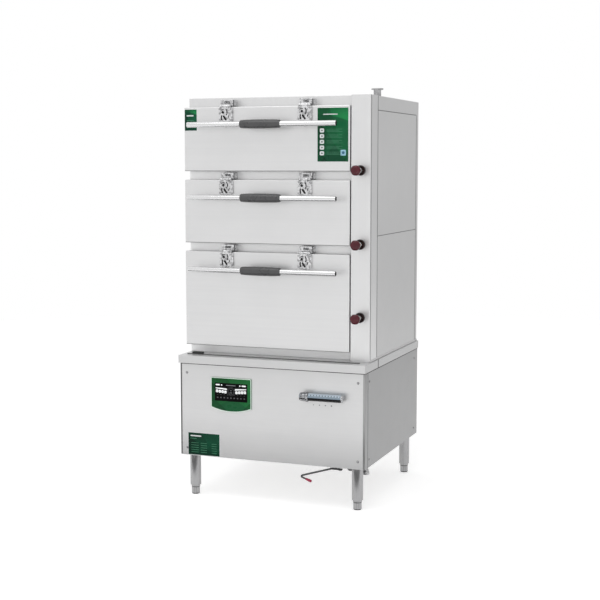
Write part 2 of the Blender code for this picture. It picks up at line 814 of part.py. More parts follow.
def build_coil():
    """The flat induction coil with its backing disc, bolted up under the tank."""
    top = tank_bottom - GAP
    outer, inner = COIL_OUTER_RADIUS, COIL_INNER_RADIUS
    pitch = (outer - inner) / COIL_GROOVES
    profile = [(outer, top), (outer, top - COIL_THICKNESS)]
    for number in range(COIL_GROOVES):
        edge = outer - pitch * (number + land_share)
        floor_edge = outer - pitch * (number + 1)
        if number < COIL_GROOVES - 1:
            profile += [(edge, top - COIL_THICKNESS), (edge, top - COIL_THICKNESS / 2),
                        (floor_edge, top - COIL_THICKNESS / 2), (floor_edge, top - COIL_THICKNESS)]
    profile += [(inner, top - COIL_THICKNESS), (inner, top)]
    return turned("induction_coil", profile, (-COIL_INNER_RADIUS, (tank_front + tank_rear) / 2, 0.0), UP,
                  "copper",
                  steps=24, closed=True)


def inverter_corners():
    left = -frame_half + INVERTER_LEFT_CLEARANCE
    rear = frame_high_y - FRAME_BAR - FAN_SHROUD_DEPTH
    low = (left, rear - INVERTER_SIZE[1], floor_top + GAP)
    high = (left + INVERTER_SIZE[0], rear, floor_top + GAP + INVERTER_SIZE[2])
    return low, high


def fan_x():
    low, high = inverter_corners()
    return (low[0] + high[0]) / 2


def fan_height():
    return floor_top + GAP + FAN_SHROUD_SIZE / 2


def fan_front():
    return inverter_corners()[1][1]


def build_inverter():
    """The inverter's case with its cooling slots, and the fan shroud and motor behind it."""
    low, high = inverter_corners()
    case = block("inverter_box", low, high, "painted_grey", open_side=(2, -1))
    sheet(case, INVERTER_SHEET)
    step = (high[1] - low[1]) / (INVERTER_SLOTS + 1)
    for number in range(INVERTER_SLOTS):
        y = low[1] + step * (number + 1)
        slot = block("inverter_slot_%d" % number,
                     (low[0] + step, y - GRILLE_SLOT_HEIGHT / 2, high[2] - INVERTER_SHEET - OVERRUN),
                     (high[0] - step, y + GRILLE_SLOT_HEIGHT / 2, high[2] + OVERRUN))
        cut(case, slot)
    x, height = fan_x(), fan_height()
    half = FAN_SHROUD_SIZE / 2
    lap = INVERTER_SHEET / 2
    shroud = block("fan_shroud", (x - half, high[1] - lap, height - half),
                   (x + half, high[1] + FAN_SHROUD_DEPTH - GAP, height + half))
    cut(shroud, cylinder("fan_tunnel", FAN_RADIUS + FAN_CLEARANCE, FAN_SHROUD_DEPTH + OVERRUN,
                         (x, high[1], height), REAR, sides=32))
    motor = cylinder("fan_motor", FAN_HUB_RADIUS, FAN_MOTOR_DEPTH, (x, high[1] - lap, height), REAR)
    shaft = cylinder("fan_shaft", FAN_SHAFT_RADIUS, FAN_SHROUD_DEPTH - FAN_CLEARANCE,
                     (x, high[1] - lap, height), REAR, sides=16)
    join(case, shroud, motor, shaft)
    return case


def build_fan():
    """The fan's wheel: a hub with tilted blades, which turns on the motor's shaft."""
    x, height = fan_x(), fan_height()
    start = fan_front() + FAN_MOTOR_DEPTH - INVERTER_SHEET / 2 + GAP
    length = FAN_SHROUD_DEPTH / 2
    profile = [(FAN_HUB_RADIUS, length), (FAN_HUB_RADIUS, 0.0), (FAN_SHAFT_RADIUS + GAP, 0.0),
               (FAN_SHAFT_RADIUS + GAP, length)]
    hub = turned("fan_rotor", profile, (x, start, height), REAR, "black_plastic", closed=True)
    reach = FAN_RADIUS - FAN_HUB_RADIUS / 2 - FAN_CLEARANCE
    for number in range(FAN_BLADES):
        angle = math.tau * number / FAN_BLADES
        blade = place_mesh("fan_blade_%d" % number,
                           block_mesh("fan_blade", (reach, length * blade_share, FAN_BLADE_THICKNESS)))
        blade.data.transform(Matrix.Rotation(math.radians(BLADE_TILT_DEG), 4, "X"))
        blade.data.transform(Matrix.Translation((FAN_HUB_RADIUS / 2 + reach / 2, 0.0, 0.0)))
        blade.data.transform(Matrix.Rotation(angle, 4, "Y"))
        blade.location = (x, start + length / 2, height)
        join(hub, blade)
    carry(pivot("fan_axis", (x, start, height)), hub)
    return hub


def build_service_plate():
    """On the rear: one plate with the water inlet's threaded stub and the mains cable's gland."""
    half = SERVICE_PLATE_WIDTH / 2
    margin = SERVICE_PLATE_MARGIN
    seat = base_rear + GAP
    face = seat + SERVICE_PLATE_THICKNESS
    plate = block("rear_service_plate", (inlet_x - half, seat, gland_z - margin),
                  (inlet_x + half, face, inlet_z + margin),
                  "brass")
    bevel(plate, EDGE_ROUND / 2, segments=1)
    spigot_end = base_rear - PANEL_SHEET - OVERRUN
    for height, bore in ((inlet_z, FITTING_STUB_RADIUS - TANK_SHEET),
                         (gland_z, FITTING_BORE_RADIUS)):
        spigot = cylinder("spigot", FITTING_SPIGOT_RADIUS, face - spigot_end, (inlet_x, spigot_end, height),
                          REAR, sides=16)
        flange = cylinder("fitting_flange", FITTING_FLANGE_RADIUS, FITTING_FLANGE_THICKNESS,
                          (inlet_x, seat + GAP, height), REAR, sides=6)
        stub = cylinder("fitting_stub", FITTING_STUB_RADIUS, base_rear + FITTING_REACH - seat - GAP,
                        (inlet_x, seat + GAP, height), REAR)
        join(plate, spigot, flange, stub)
        depth = FITTING_REACH / 2
        cut(plate, cylinder("fitting_bore", bore, depth + OVERRUN,
                            (inlet_x, base_rear + FITTING_REACH - depth, height), REAR, sides=20))
    return plate


def float_pivot():
    return (inlet_x, tank_rear - TANK_SHEET - FLOAT_PIVOT_SETBACK, inlet_z)


def build_float_valve():
    """The feed pipe from the inlet into the tank, and the valve block with the arm's fork."""
    start = base_rear - PANEL_SHEET - OVERRUN - GAP
    x, y, height = float_pivot()
    block_rear = tank_rear - TANK_SHEET - GAP
    pipe = cylinder("float_valve", SUPPLY_RADIUS, start - block_rear + OVERRUN, (x, start, height), FRONT,
                    "brass")
    half = FLOAT_BLOCK / 2
    body = block("valve_block", (x - half, y - FLOAT_HUB_RADIUS, height - half),
                 (x + half, block_rear, height + half))
    fork = block("fork_slot", (x - FLOAT_FORK_SLOT / 2, y - half, height - FLOAT_BLOCK),
                 (x + FLOAT_FORK_SLOT / 2, y + FLOAT_HUB_RADIUS + OVERRUN, height + FLOAT_BLOCK))
    cut(body, fork)
    pin = cylinder("fork_pin", FLOAT_PIN_RADIUS, FLOAT_BLOCK - OVERRUN, (x - half + OVERRUN / 2, y, height),
                   RIGHT, sides=16)
    join(body, pin)
    join(pipe, body)
    return pipe


def build_float_arm():
    """The arm with its ball, hanging at the low stop of an empty tank."""
    x, y, height = float_pivot()
    drop = math.radians(FLOAT_DROP_DEG)
    way = Vector((0.0, -math.cos(drop), -math.sin(drop)))
    hub_profile = [(FLOAT_HUB_RADIUS, FLOAT_HUB_WIDTH), (FLOAT_HUB_RADIUS, 0.0),
                   (FLOAT_PIN_RADIUS + GAP, 0.0),
                   (FLOAT_PIN_RADIUS + GAP, FLOAT_HUB_WIDTH)]
    arm = turned("float_arm", hub_profile, (x - FLOAT_HUB_WIDTH / 2, y, height), RIGHT, "float_plastic",
                 steps=16, closed=True)
    turn = (math.pi / 2 + drop, 0.0, 0.0)
    start = Vector((x, y, height)) + way * (FLOAT_HUB_RADIUS + FLOAT_PIN_RADIUS) / 2
    rod = cylinder("float_rod", FLOAT_ARM_RADIUS, FLOAT_ARM_LENGTH, start, turn, sides=12)
    ball_mesh = bmesh.new()
    bmesh.ops.create_uvsphere(ball_mesh, u_segments=14, v_segments=8, radius=FLOAT_RADIUS)
    ball = place_mesh("float_ball", mesh_from(ball_mesh, "float_ball"),
                      Vector((x, y, height)) + way * FLOAT_ARM_LENGTH)
    join(arm, rod, ball)
    carry(pivot("float_axis", (x, y, height)), arm)
    return arm


# The drain under the base

def build_drain_pipe():
    """From the tank's floor down, forward and to the right, through the ball valve, to the outlet."""
    down_y = base_front + DRAIN_DOWNPIPE_SETBACK
    valve_line = base_front + DRAIN_SETBACK
    top = tank_bottom - GAP
    path = rounded_path([(drain_down_x, down_y, top), (drain_down_x, down_y, drain_z),
                         (drain_down_x, valve_line, drain_z), (drain_outlet_x, valve_line,
                                                                    drain_z),
                         (drain_outlet_x, valve_line,
                          drain_z - DRAIN_OUTLET_DROP)], PIPE_BEND, steps=4)
    pipe = bent_rod("drain_pipe", path, PIPE_RADIUS, "tube_steel")
    flange = cylinder("drain_flange", PIPE_FLANGE_RADIUS, PIPE_FLANGE_THICKNESS,
                      (drain_down_x, down_y, top - PIPE_FLANGE_THICKNESS - GAP))
    body = cylinder("valve_body", VALVE_BODY_RADIUS, VALVE_BODY_LENGTH,
                    (drain_valve_x - VALVE_BODY_LENGTH / 2, valve_line, drain_z),
                    RIGHT, sides=20)
    stem = cylinder("valve_stem", VALVE_STEM_RADIUS, VALVE_BODY_RADIUS + VALVE_STEM_LENGTH,
                    (drain_valve_x, valve_line, drain_z), DOWN, sides=16)
    join(pipe, flange, body, stem)
    cut(pipe, cylinder("outlet_bore", PIPE_BORE_RADIUS, PIPE_BORE_DEPTH + OVERRUN,
                       (drain_outlet_x, valve_line, drain_z - DRAIN_OUTLET_DROP - OVERRUN)))
    return pipe


def build_drain_lever():
    """The lever that closes the drain: a slotted plate on the stem, a cranked rod and a dipped tip."""
    valve_line = base_front + DRAIN_SETBACK
    plate_top = drain_z - VALVE_BODY_RADIUS - LEVER_CLEARANCE
    plate_low = plate_top - LEVER_PLATE_THICKNESS
    middle = plate_low + LEVER_PLATE_THICKNESS / 2
    stem = Vector((drain_valve_x, valve_line, 0.0))
    half = LEVER_PLATE_WIDTH / 2
    plate = block("drain_lever", (stem.x - LEVER_PLATE_LENGTH + half, stem.y - half, plate_low),
                  (stem.x + half, stem.y + half, plate_top),
                  "black_plastic")
    bevel(plate, EDGE_ROUND)
    nut = cylinder("lever_nut", LEVER_NUT_RADIUS, LEVER_NUT_THICKNESS + EDGE_ROUND,
                   (stem.x, stem.y, plate_low - LEVER_NUT_THICKNESS), sides=6)
    bend = Vector((stem.x - LEVER_REACH, stem.y - LEVER_BEND_FORWARD, middle - LEVER_BEND_DROP))
    tip = Vector((bend.x + LEVER_TIP_RETURN, stem.y - LEVER_TIP_FORWARD, middle - LEVER_TIP_DROP))
    start = Vector((stem.x - LEVER_PLATE_LENGTH + 2 * half, stem.y, middle))
    grip_way = (tip - bend).normalized()
    grip_start = tip - grip_way * LEVER_TIP_LENGTH
    path = rounded_path([start, bend, grip_start + grip_way * LEVER_TIP_LENGTH / 2], LEVER_BEND_RADIUS,
                        steps=6)
    rod = bent_rod("lever_rod", path, LEVER_ROD_RADIUS, resolution=2)
    join(plate, nut, rod)
    cut(plate,
        cylinder("lever_bore", VALVE_STEM_RADIUS + GAP,
                 LEVER_NUT_THICKNESS + LEVER_PLATE_THICKNESS + 2 * OVERRUN,
                        (stem.x, stem.y, plate_low - LEVER_NUT_THICKNESS - OVERRUN), sides=16))
    radius = LEVER_TIP_RADIUS
    bore = LEVER_ROD_RADIUS + GAP
    length = LEVER_TIP_LENGTH
    profile = [(0.0, length), (radius * tip_share, length), (radius, length - radius * tip_share),
               (radius * neck_share, 0.0), (bore, 0.0),
               (bore, length / 2 + GAP), (0.0, length / 2 + GAP)]
    turn = grip_way.to_track_quat("Z", "Y").to_euler()
    tip_cap = turned("drain_lever_grip", profile, grip_start, turn, "lever_plastic", steps=16)
    carry(pivot("drain_lever_axis", stem), plate, tip_cap)
    return plate, tip_cap


# Controls on the base front

def panel_middle():
    x = -base_half + PANEL_CENTRE_FROM_LEFT
    top = rim_top - PANEL_TOP_FROM_RIM
    return x, top


def module_corners(grow):
    """The box behind the control panel, from the panel's back into the base."""
    x, top = panel_middle()
    middle = top - PANEL_SIDE_HEIGHT / 2
    low = (x - MODULE_WIDTH / 2 - grow, base_front - GAP - PANEL_THICKNESS / 2,
           middle - MODULE_HEIGHT / 2 - grow)
    high = (x + MODULE_WIDTH / 2 + grow, base_front + MODULE_DEPTH, middle + MODULE_HEIGHT / 2 + grow)
    return low, high


def arc_points(centre, radius, start_deg, end_deg, steps):
    points = []
    for step in range(steps + 1):
        angle = math.radians(start_deg + (end_deg - start_deg) * step / steps)
        points.append((centre[0] + radius * math.cos(angle), centre[1] + radius * math.sin(angle)))
    return points


def build_control_panel():
    """The touch panel: a plate with rounded corners and an arched lower edge, and the module behind."""
    x, top = panel_middle()
    half = PANEL_WIDTH / 2
    corner = PANEL_ROUND
    bow_radius = (half * half + PANEL_ARCH * PANEL_ARCH) / (2 * PANEL_ARCH)
    bow_angle = math.degrees(math.asin(half / bow_radius))
    outline = arc_points((half - corner, -corner), corner, 0, 90, 4)
    outline += arc_points((-half + corner, -corner), corner, 90, 180, 4)
    outline += arc_points((0.0, -PANEL_SIDE_HEIGHT - PANEL_ARCH + bow_radius), bow_radius, 270 - bow_angle,
                          270 + bow_angle, 14)
    plate = outline_plate("control_panel", outline, PANEL_THICKNESS, (x, base_front - GAP, top), FRONT,
                          "panel_plastic")
    bevel(plate, EDGE_ROUND / 2, segments=1)
    module = block("panel_module", *module_corners(0.0))
    join(plate, module)
    return plate


def slider_post_places():
    return (slider_left + SLIDER_POST_RADIUS, slider_right + SLIDER_CAP_LENGTH / 2)


def build_slider():
    """The heat setting: a scaled tube on two posts and, on it, a ring that slides from off to full."""
    radius = SLIDER_TUBE_RADIUS
    cap = SLIDER_CAP_RADIUS
    length = SLIDER_TUBE_LENGTH
    profile = [(0.0, length + SLIDER_CAP_LENGTH), (cap - EDGE_ROUND, length + SLIDER_CAP_LENGTH),
               (cap, length + SLIDER_CAP_LENGTH - EDGE_ROUND), (cap, length), (radius, length), (radius,
                                                                                                 0.0), (0.0,
                                                                                                        0.0)]
    tube = turned("power_slider_tube", profile, (slider_left, slider_y, slider_z), RIGHT,
                  "slider_glass", steps=24)
    for number, x in enumerate(slider_post_places()):
        reach = SLIDER_STANDOFF + PANEL_SHEET + OVERRUN
        join(tube, cylinder("slider_post_%d" % number, SLIDER_POST_RADIUS, reach,
                            (x, slider_y, slider_z), REAR, sides=10))
    bore = radius + RING_BORE_CLEARANCE
    near, far = RING_LENGTH * ring_crest_near_share, RING_LENGTH * ring_crest_far_share
    ring_profile = [(RING_WAIST_RADIUS, RING_LENGTH), (RING_RADIUS, RING_LENGTH - near),
                    (RING_RADIUS, RING_LENGTH - far),
                    (RING_WAIST_RADIUS, RING_LENGTH / 2), (RING_RADIUS, far), (RING_RADIUS, near),
                    (RING_WAIST_RADIUS, 0.0), (bore, 0.0), (bore, RING_LENGTH)]
    ring_start = slider_left + 2 * SLIDER_POST_RADIUS + RING_INSET
    ring = turned("power_slider_ring", ring_profile, (ring_start, slider_y, slider_z), RIGHT, "chrome",
                  steps=16, closed=True)
    carry(pivot("power_slider_way", (ring_start, slider_y, slider_z)), ring)
    return tube, ring


# The upper cabinet

def door_span(name):
    """The lower and upper edge of a door."""
    return door_bottoms[name], door_bottoms[name] + DOOR_HEIGHTS[name]


def opening_span(name):
    low, high = door_span(name)
    return low + OPENING_END_MARGIN, high - OPENING_END_MARGIN


def inlet_height(name):
    return opening_span(name)[0] + INLET_RISE


def bonnet_holes(name, low_y, high_y):
    """Cutters for the three valve bonnets, through whatever lies between two planes."""
    holes = []
    for level, height in knob_heights.items():
        holes.append(cylinder("%s_%s" % (name, level), BONNET_RADIUS + GAP, high_y - low_y + 2 * OVERRUN,
                              (knob_x, high_y + OVERRUN, height), FRONT, sides=16))
    return holes


def build_casing():
    """The outer shell: left side, rear, top, floor and the right wall with its two service windows."""
    low = (upper_left, frame_back + GAP, upper_bottom)
    high = (casing_side, upper_rear, upper_top)
    casing = block("upper_casing", low, high, "side_steel", open_side=(1, -1))
    bevel(casing, EDGE_ROUND)
    sheet(casing, PANEL_SHEET)
    margin = FRAME_BAR
    for number, (low_z, high_z) in enumerate(cover_spans()):
        window = block("service_window_%d" % number,
                       (casing_side - 2 * PANEL_SHEET, duct_side_end + margin, low_z + margin),
                       (upper_right, cover_rear - margin, high_z - margin))
        cut(casing, window)
    cut(casing, cylinder("riser_hole", RISER_RADIUS + GAP, upper_top - upper_bottom + 2 * OVERRUN,
                         (riser_x, riser_y, upper_bottom - OVERRUN)))
    return casing


def build_front_frame():
    """The face plate that the door seals close on."""
    frame = block("front_frame", (upper_left, frame_front, upper_bottom),
                  (casing_side, frame_back, upper_top), "brushed_steel")
    for name in DOOR_HEIGHTS:
        low_z, high_z = opening_span(name)
        cut(frame, block("opening_" + name, (opening_left, frame_front - OVERRUN, low_z),
                         (opening_right, frame_back + OVERRUN, high_z)))
    cut(frame, *bonnet_holes("frame_hole", frame_front, frame_back))
    return frame


def build_duct_cover():
    """The right-hand post over the steam duct: a bent sheet wrapped round to the side, with closed ends."""
    corners = [(post_left, frame_front - GAP, 0.0), (post_left, door_front, 0.0),
               (upper_right, door_front, 0.0),
               (upper_right, duct_side_end, 0.0)]
    cover = wall_along("duct_cover", rounded_path(corners, POST_ROUND, steps=3), upper_bottom, upper_top,
                       PANEL_SHEET,
                       "brushed_steel")
    inner = PANEL_SHEET / 2
    for low_z in (upper_bottom + GAP, upper_top - GAP - PANEL_SHEET):
        join(cover, block("post_end", (post_left + inner, door_front + inner, low_z),
                          (upper_right - inner, frame_front - 2 * GAP, low_z + PANEL_SHEET)))
    cut(cover, *bonnet_holes("post_hole", door_front, door_front + PANEL_SHEET))
    return cover


def cover_spans():
    half = COVER_SEAM / 2
    return (upper_bottom, cover_split - half), (cover_split + half, cover_top)


def build_side_covers():
    covers = []
    for name, (low_z, high_z) in zip(("side_cover_lower", "side_cover_upper"), cover_spans()):
        cover = block(name, (upper_right - PANEL_SHEET, duct_side_end + COVER_SEAM, low_z),
                      (upper_right, cover_rear, high_z), "side_steel")
        bevel(cover, EDGE_BREAK, segments=1)
        covers.append(cover)
    return covers


def build_chamber(name):
    """One steam chamber: a sheet box that is open to the front."""
    low_z, high_z = opening_span(name)
    wall = CHAMBER_SHEET
    chamber = block("chamber_" + name, (opening_left - wall, frame_back + GAP, low_z - wall),
                    (opening_right + wall, chamber_rear, high_z + wall), "tube_steel", open_side=(1, -1))
    sheet(chamber, wall)
    cut(chamber, cylinder("inlet_hole_" + name, BRANCH_RADIUS + GAP, wall + 2 * OVERRUN,
                          (opening_right - OVERRUN, valve_y, inlet_height(name)), RIGHT, sides=20))
    return chamber


def build_insulation():
    """The rock wool between the shell and the chambers, in one block with three pockets."""
    play = INSULATION_PLAY
    low = (upper_left + PANEL_SHEET + play, frame_back + play, upper_bottom + PANEL_SHEET + play)
    high = (door_right, upper_rear - PANEL_SHEET - play, upper_top - PANEL_SHEET - play)
    wool = block("chamber_insulation", low, high, "rock_wool")
    skin = CHAMBER_SHEET + GAP
    for name in DOOR_HEIGHTS:
        low_z, high_z = opening_span(name)
        pocket = block("pocket_" + name, (opening_left - skin, frame_front, low_z - skin),
                       (opening_right + skin, chamber_rear + GAP, high_z + skin))
        pipe_way = cylinder("pipe_way_" + name, BRANCH_RADIUS + play, door_right - opening_right + OVERRUN,
                            (opening_right, valve_y, inlet_height(name)), RIGHT, sides=20)
        cut(wool, pocket, pipe_way)
    return wool


def build_rack(name):
    """A slotted bench on its own turned-down sides, which stands on its chamber's floor."""
    left = opening_left + RACK_CLEARANCE
    right = opening_right - RACK_CLEARANCE
    front = frame_back + RACK_CLEARANCE
    rear = chamber_rear - CHAMBER_SHEET - RACK_CLEARANCE
    pitch = (right - left) / (RACK_SLOTS + 1)
    floor = opening_span(name)[0] + GAP
    top = floor + RACK_HEIGHT
    rack = block("rack_" + name, (left, front, floor), (right, rear, top), "tube_steel")
    cut(rack, block("rack_under", (left + RACK_SHEET, front - OVERRUN, floor - OVERRUN),
                    (right - RACK_SHEET, rear + OVERRUN, top - RACK_SHEET)))
    for number in range(RACK_SLOTS):
        x = left + pitch * (number + 1)
        cut(rack,
            block("rack_slot", (x - RACK_SLOT_WIDTH / 2, front + pitch / 2, top - RACK_SHEET - OVERRUN),
                        (x + RACK_SLOT_WIDTH / 2, rear - pitch / 2, top + OVERRUN)))
    return rack


def build_riser():
    """The steam riser with its vent on top, and for each chamber a branch, valve, bonnet and inlet pipe."""
    foot = rim_top - PLINTH_WIDTH
    riser = cylinder("steam_riser", RISER_RADIUS, upper_top + RISER_RISE - foot, (riser_x, riser_y, foot),
                     UP, "tube_steel", sides=20)
    flange = cylinder("vent_flange", RISER_FLANGE_RADIUS, RISER_FLANGE_THICKNESS,
                      (riser_x, riser_y, upper_top + RISER_RISE - RISER_FLANGE_THICKNESS), sides=20)
    join(riser, flange)
    for name, height in knob_heights.items():
        start = Vector((riser_x, riser_y, height))
        centre = Vector((knob_x, valve_y, height))
        inlet = inlet_height(name)
        branch = bent_rod("branch_" + name, [start, centre], BRANCH_RADIUS)
        body = cylinder("steam_valve_" + name, VALVE_RADIUS, 2 * VALVE_RADIUS,
                        centre - Vector((0.0, 0.0, VALVE_RADIUS)), sides=12)
        outlet_path = rounded_path([centre, (knob_x, valve_y, inlet),
                                    (opening_right - OVERRUN, valve_y, inlet)], INLET_BEND, steps=3)
        outlet = bent_rod("outlet_" + name, outlet_path, BRANCH_RADIUS)
        bonnet = cylinder("bonnet_" + name, BONNET_RADIUS, valve_y - door_front + BONNET_REACH, centre,
                          FRONT, sides=12)
        nut_profile = [(0.0, COLLAR_THICKNESS), (COLLAR_RADIUS * collar_shoulder_share, COLLAR_THICKNESS),
                       (COLLAR_RADIUS, COLLAR_THICKNESS * collar_face_share), (COLLAR_RADIUS, 0.0), (0.0,
                                                                                                     0.0)]
        nut = turned("bonnet_nut", nut_profile, (knob_x, door_front - GAP, height), FRONT, steps=16)
        join(riser, branch, body, outlet, bonnet, nut)
        stem_end = KNOB_REACH - KNOB_THICKNESS - KNOB_HUB_LENGTH - KNOB_STEM_LENGTH
        bore_length = BONNET_REACH - stem_end + OVERRUN
        cut(riser, cylinder("bonnet_bore_" + name, KNOB_STEM_RADIUS + GAP, bore_length + OVERRUN,
                            (knob_x, door_front - BONNET_REACH - OVERRUN, height), REAR, sides=12))
    cut(riser,
        cylinder("vent_bore", RISER_BORE_RADIUS, RISER_RISE + OVERRUN, (riser_x, riser_y, upper_top),
                 sides=16))
    return riser


def build_knob(name):
    """A lobed handwheel on its stem, which turns in the bonnet."""
    radius, front = KNOB_RADIUS, KNOB_REACH
    rear = front - KNOB_THICKNESS
    rounding = KNOB_THICKNESS * knob_round_share
    hub_rear = rear - KNOB_HUB_LENGTH
    profile = [(0.0, front), (radius * knob_face_share, front),
               (radius * knob_edge_share, front - KNOB_THICKNESS * (1 - knob_edge_share)),
               (radius, front - rounding), (radius, rear + rounding), (radius * knob_edge_share, rear),
               (KNOB_HUB_RADIUS, rear), (KNOB_HUB_RADIUS * dome_share, hub_rear), (KNOB_STEM_RADIUS,
                                                                                   hub_rear),
               (KNOB_STEM_RADIUS, hub_rear - KNOB_STEM_LENGTH), (0.0, hub_rear - KNOB_STEM_LENGTH)]
    place = (knob_x, door_front, knob_heights[name])
    knob = turned("knob_" + name, profile, place, FRONT, "knob_plastic", steps=30)
    for vertex in knob.data.vertices:
        reach = math.hypot(vertex.co.x, vertex.co.y)
        if reach > KNOB_HUB_RADIUS + GAP:
            angle = math.atan2(vertex.co.y, vertex.co.x)
            grown = reach + KNOB_LOBE_DEPTH * (math.cos(KNOB_LOBES * angle) - 1) / 2
            vertex.co.x *= grown / reach
            vertex.co.y *= grown / reach
    carry(pivot("knob_%s_axis" % name, place), knob)
    return knob


# The doors and their hinges

def hinge_places():
    return door_middle_x - HINGE_SPACING / 2, door_middle_x + HINGE_SPACING / 2


def door_axis(name):
    top = door_span(name)[1]
    return door_middle_x, door_front - HINGE_AXIS_FRONT, top + HINGE_AXIS_RISE


def build_bracket(name, side, x):
    """The fixed half of a hinge: a block, two ears with the pin between them, and the spring in a window."""
    top = door_span(name)[1]
    axis = door_axis(name)
    face = door_front + BRACKET_SETBACK
    low_z = top + BRACKET_RISE
    bracket = block("hinge_bracket_%s_%s" % (name, side), (x - BRACKET_WIDTH / 2, face, low_z),
                    (x + BRACKET_WIDTH / 2, frame_front - GAP, low_z + BRACKET_HEIGHT), "chrome")
    bevel(bracket, EDGE_ROUND, segments=1)
    inner = KNUCKLE_LENGTH / 2 + 2 * GAP
    for start in (x - inner - EAR_WIDTH, x + inner):
        barrel = cylinder("ear_barrel", KNUCKLE_RADIUS, EAR_WIDTH, (start, axis[1], axis[2]), RIGHT,
                          sides=16)
        arm = block("ear_arm", (start + GAP, axis[1], top + EAR_RISE),
                    (start + EAR_WIDTH - GAP, face + OVERRUN, axis[2] + KNUCKLE_RADIUS * arm_share))
        join(bracket, barrel, arm)
    pin_half = inner + EAR_WIDTH / 2
    join(bracket,
         cylinder("pin", PIN_RADIUS, 2 * pin_half, (x - pin_half, axis[1], axis[2]), RIGHT, sides=12))
    half = spring_half()
    coil_y, coil_z = spring_line(name)
    slot_half = SPRING_COIL_RADIUS + SPRING_WIRE_RADIUS + 2 * GAP
    cut(bracket, block("spring_window", (x - half, face - OVERRUN, coil_z - slot_half),
                       (x + half, face + SPRING_WINDOW_DEPTH, coil_z + slot_half)))
    spindle = cylinder("spindle", SPINDLE_RADIUS, 2 * (half + OVERRUN),
                       (x - half - OVERRUN, coil_y, coil_z), RIGHT, sides=8)
    path = spring_path((x, coil_y, coil_z))
    join(bracket, spindle, bent_rod("closing_spring", path, SPRING_WIRE_RADIUS, resolution=0))
    return least_gap(path)


def spring_half():
    """Half the spring window's length: the turns and a straight tail at each end."""
    return SPRING_TURNS * SPRING_PITCH / 2 + 2 * SPRING_WIRE_RADIUS + SPRING_PITCH / 2


def spring_line(name):
    """The spring's line behind the bracket's face, above its middle."""
    low_z = door_span(name)[1] + BRACKET_RISE
    line_y = door_front + BRACKET_SETBACK + SPRING_WINDOW_DEPTH / 2
    return line_y, low_z + BRACKET_HEIGHT * spring_height_share


def spring_path(place):
    """A straight tail, the turns with their lead-in, and the other tail, along X."""
    centre = Vector(place)
    reach = spring_half() + SPRING_WIRE_RADIUS
    turns_half = SPRING_TURNS * SPRING_PITCH / 2
    count = SPRING_TURNS * SPRING_POINTS_PER_TURN
    path = []
    for step in range(count + 1):
        angle = math.tau * step / SPRING_POINTS_PER_TURN
        along = -turns_half + SPRING_PITCH * step / SPRING_POINTS_PER_TURN
        path.append(centre + Vector((along, SPRING_COIL_RADIUS * math.cos(angle),
                                     SPRING_COIL_RADIUS * math.sin(angle))))
    first, last = path[0], path[-1]
    lead = SPRING_PITCH * spring_lead_share
    tail_in = [Vector((centre.x - reach, first.y, first.z)), Vector((first.x - lead, first.y, first.z))]
    tail_out = [Vector((last.x + lead, last.y, last.z)), Vector((centre.x + reach, last.y, last.z))]
    return tail_in + path + tail_out


def least_gap(path):
    """The least gap between two turns of the spring, from points three quarters of a turn or more apart."""
    apart = SPRING_POINTS_PER_TURN * 3 // 4
    least = min((a - b).length for i, a in enumerate(path) for b in path[i + apart:])
    return least - 2 * SPRING_WIRE_RADIUS


def build_hinges():
    """The six fixed hinge halves, two to a door."""
    for name in DOOR_HEIGHTS:
        for side, x in zip(("left", "right"), hinge_places()):
            least = build_bracket(name, side, x)
    print("hinge spring: least gap between turns %.2f mm" % (least * 1000))


def build_leaf(name, x):
    """The moving half of a hinge: a cast plate on the door with a knuckle round the pin."""
    top = door_span(name)[1]
    axis = door_axis(name)
    rear = door_front - GAP
    front = rear - LEAF_THICKNESS
    high_z = top - LEAF_DROP
    tongue_half = BAR_POST_RADIUS - EDGE_ROUND
    leaf = block("leaf", (x - LEAF_WIDTH / 2, front, high_z - LEAF_HEIGHT),
                 (x + LEAF_WIDTH / 2, rear, high_z))
    bevel(leaf, EDGE_ROUND, segments=1)
    tongue = block("leaf_tongue", (x - tongue_half, rear - BAR_FOOT_THICKNESS + GAP, top - BAR_DROP),
                   (x + tongue_half, rear - GAP, high_z - LEAF_HEIGHT + OVERRUN))
    half = KNUCKLE_LENGTH / 2
    knuckle = cylinder("knuckle", KNUCKLE_RADIUS, KNUCKLE_LENGTH, (x - half, axis[1], axis[2]), RIGHT,
                       sides=16)
    web = block("knuckle_web",
                (x - half + GAP, axis[1] - KNUCKLE_RADIUS * web_share, high_z - KNUCKLE_RADIUS),
                (x + half - GAP, axis[1] + KNUCKLE_RADIUS * web_share, axis[2]))
    join(leaf, tongue, knuckle, web)
    cut(leaf, cylinder("knuckle_bore", PIN_RADIUS + GAP, KNUCKLE_LENGTH + 2 * OVERRUN,
                       (x - half - OVERRUN, axis[1], axis[2]), RIGHT, sides=12))
    cut(leaf, cylinder("leaf_hole", LEAF_HOLE_RADIUS, LEAF_THICKNESS + 2 * OVERRUN,
                       (x - LEAF_WIDTH * hole_side_share, rear + OVERRUN,
                        high_z - LEAF_HEIGHT * hole_drop_share), FRONT, sides=12))
    slot = place_mesh("leaf_slot",
                      block_mesh("leaf_slot",
                                 (LEAF_SLOT_WIDTH, LEAF_THICKNESS + 2 * OVERRUN, LEAF_SLOT_LENGTH)),
                      (x + LEAF_WIDTH * slot_side_share, (front + rear) / 2,
                       high_z - LEAF_HEIGHT * slot_drop_share),
                      (0.0, math.radians(LEAF_SLOT_TILT_DEG), 0.0))
    cut(leaf, slot)
    return leaf


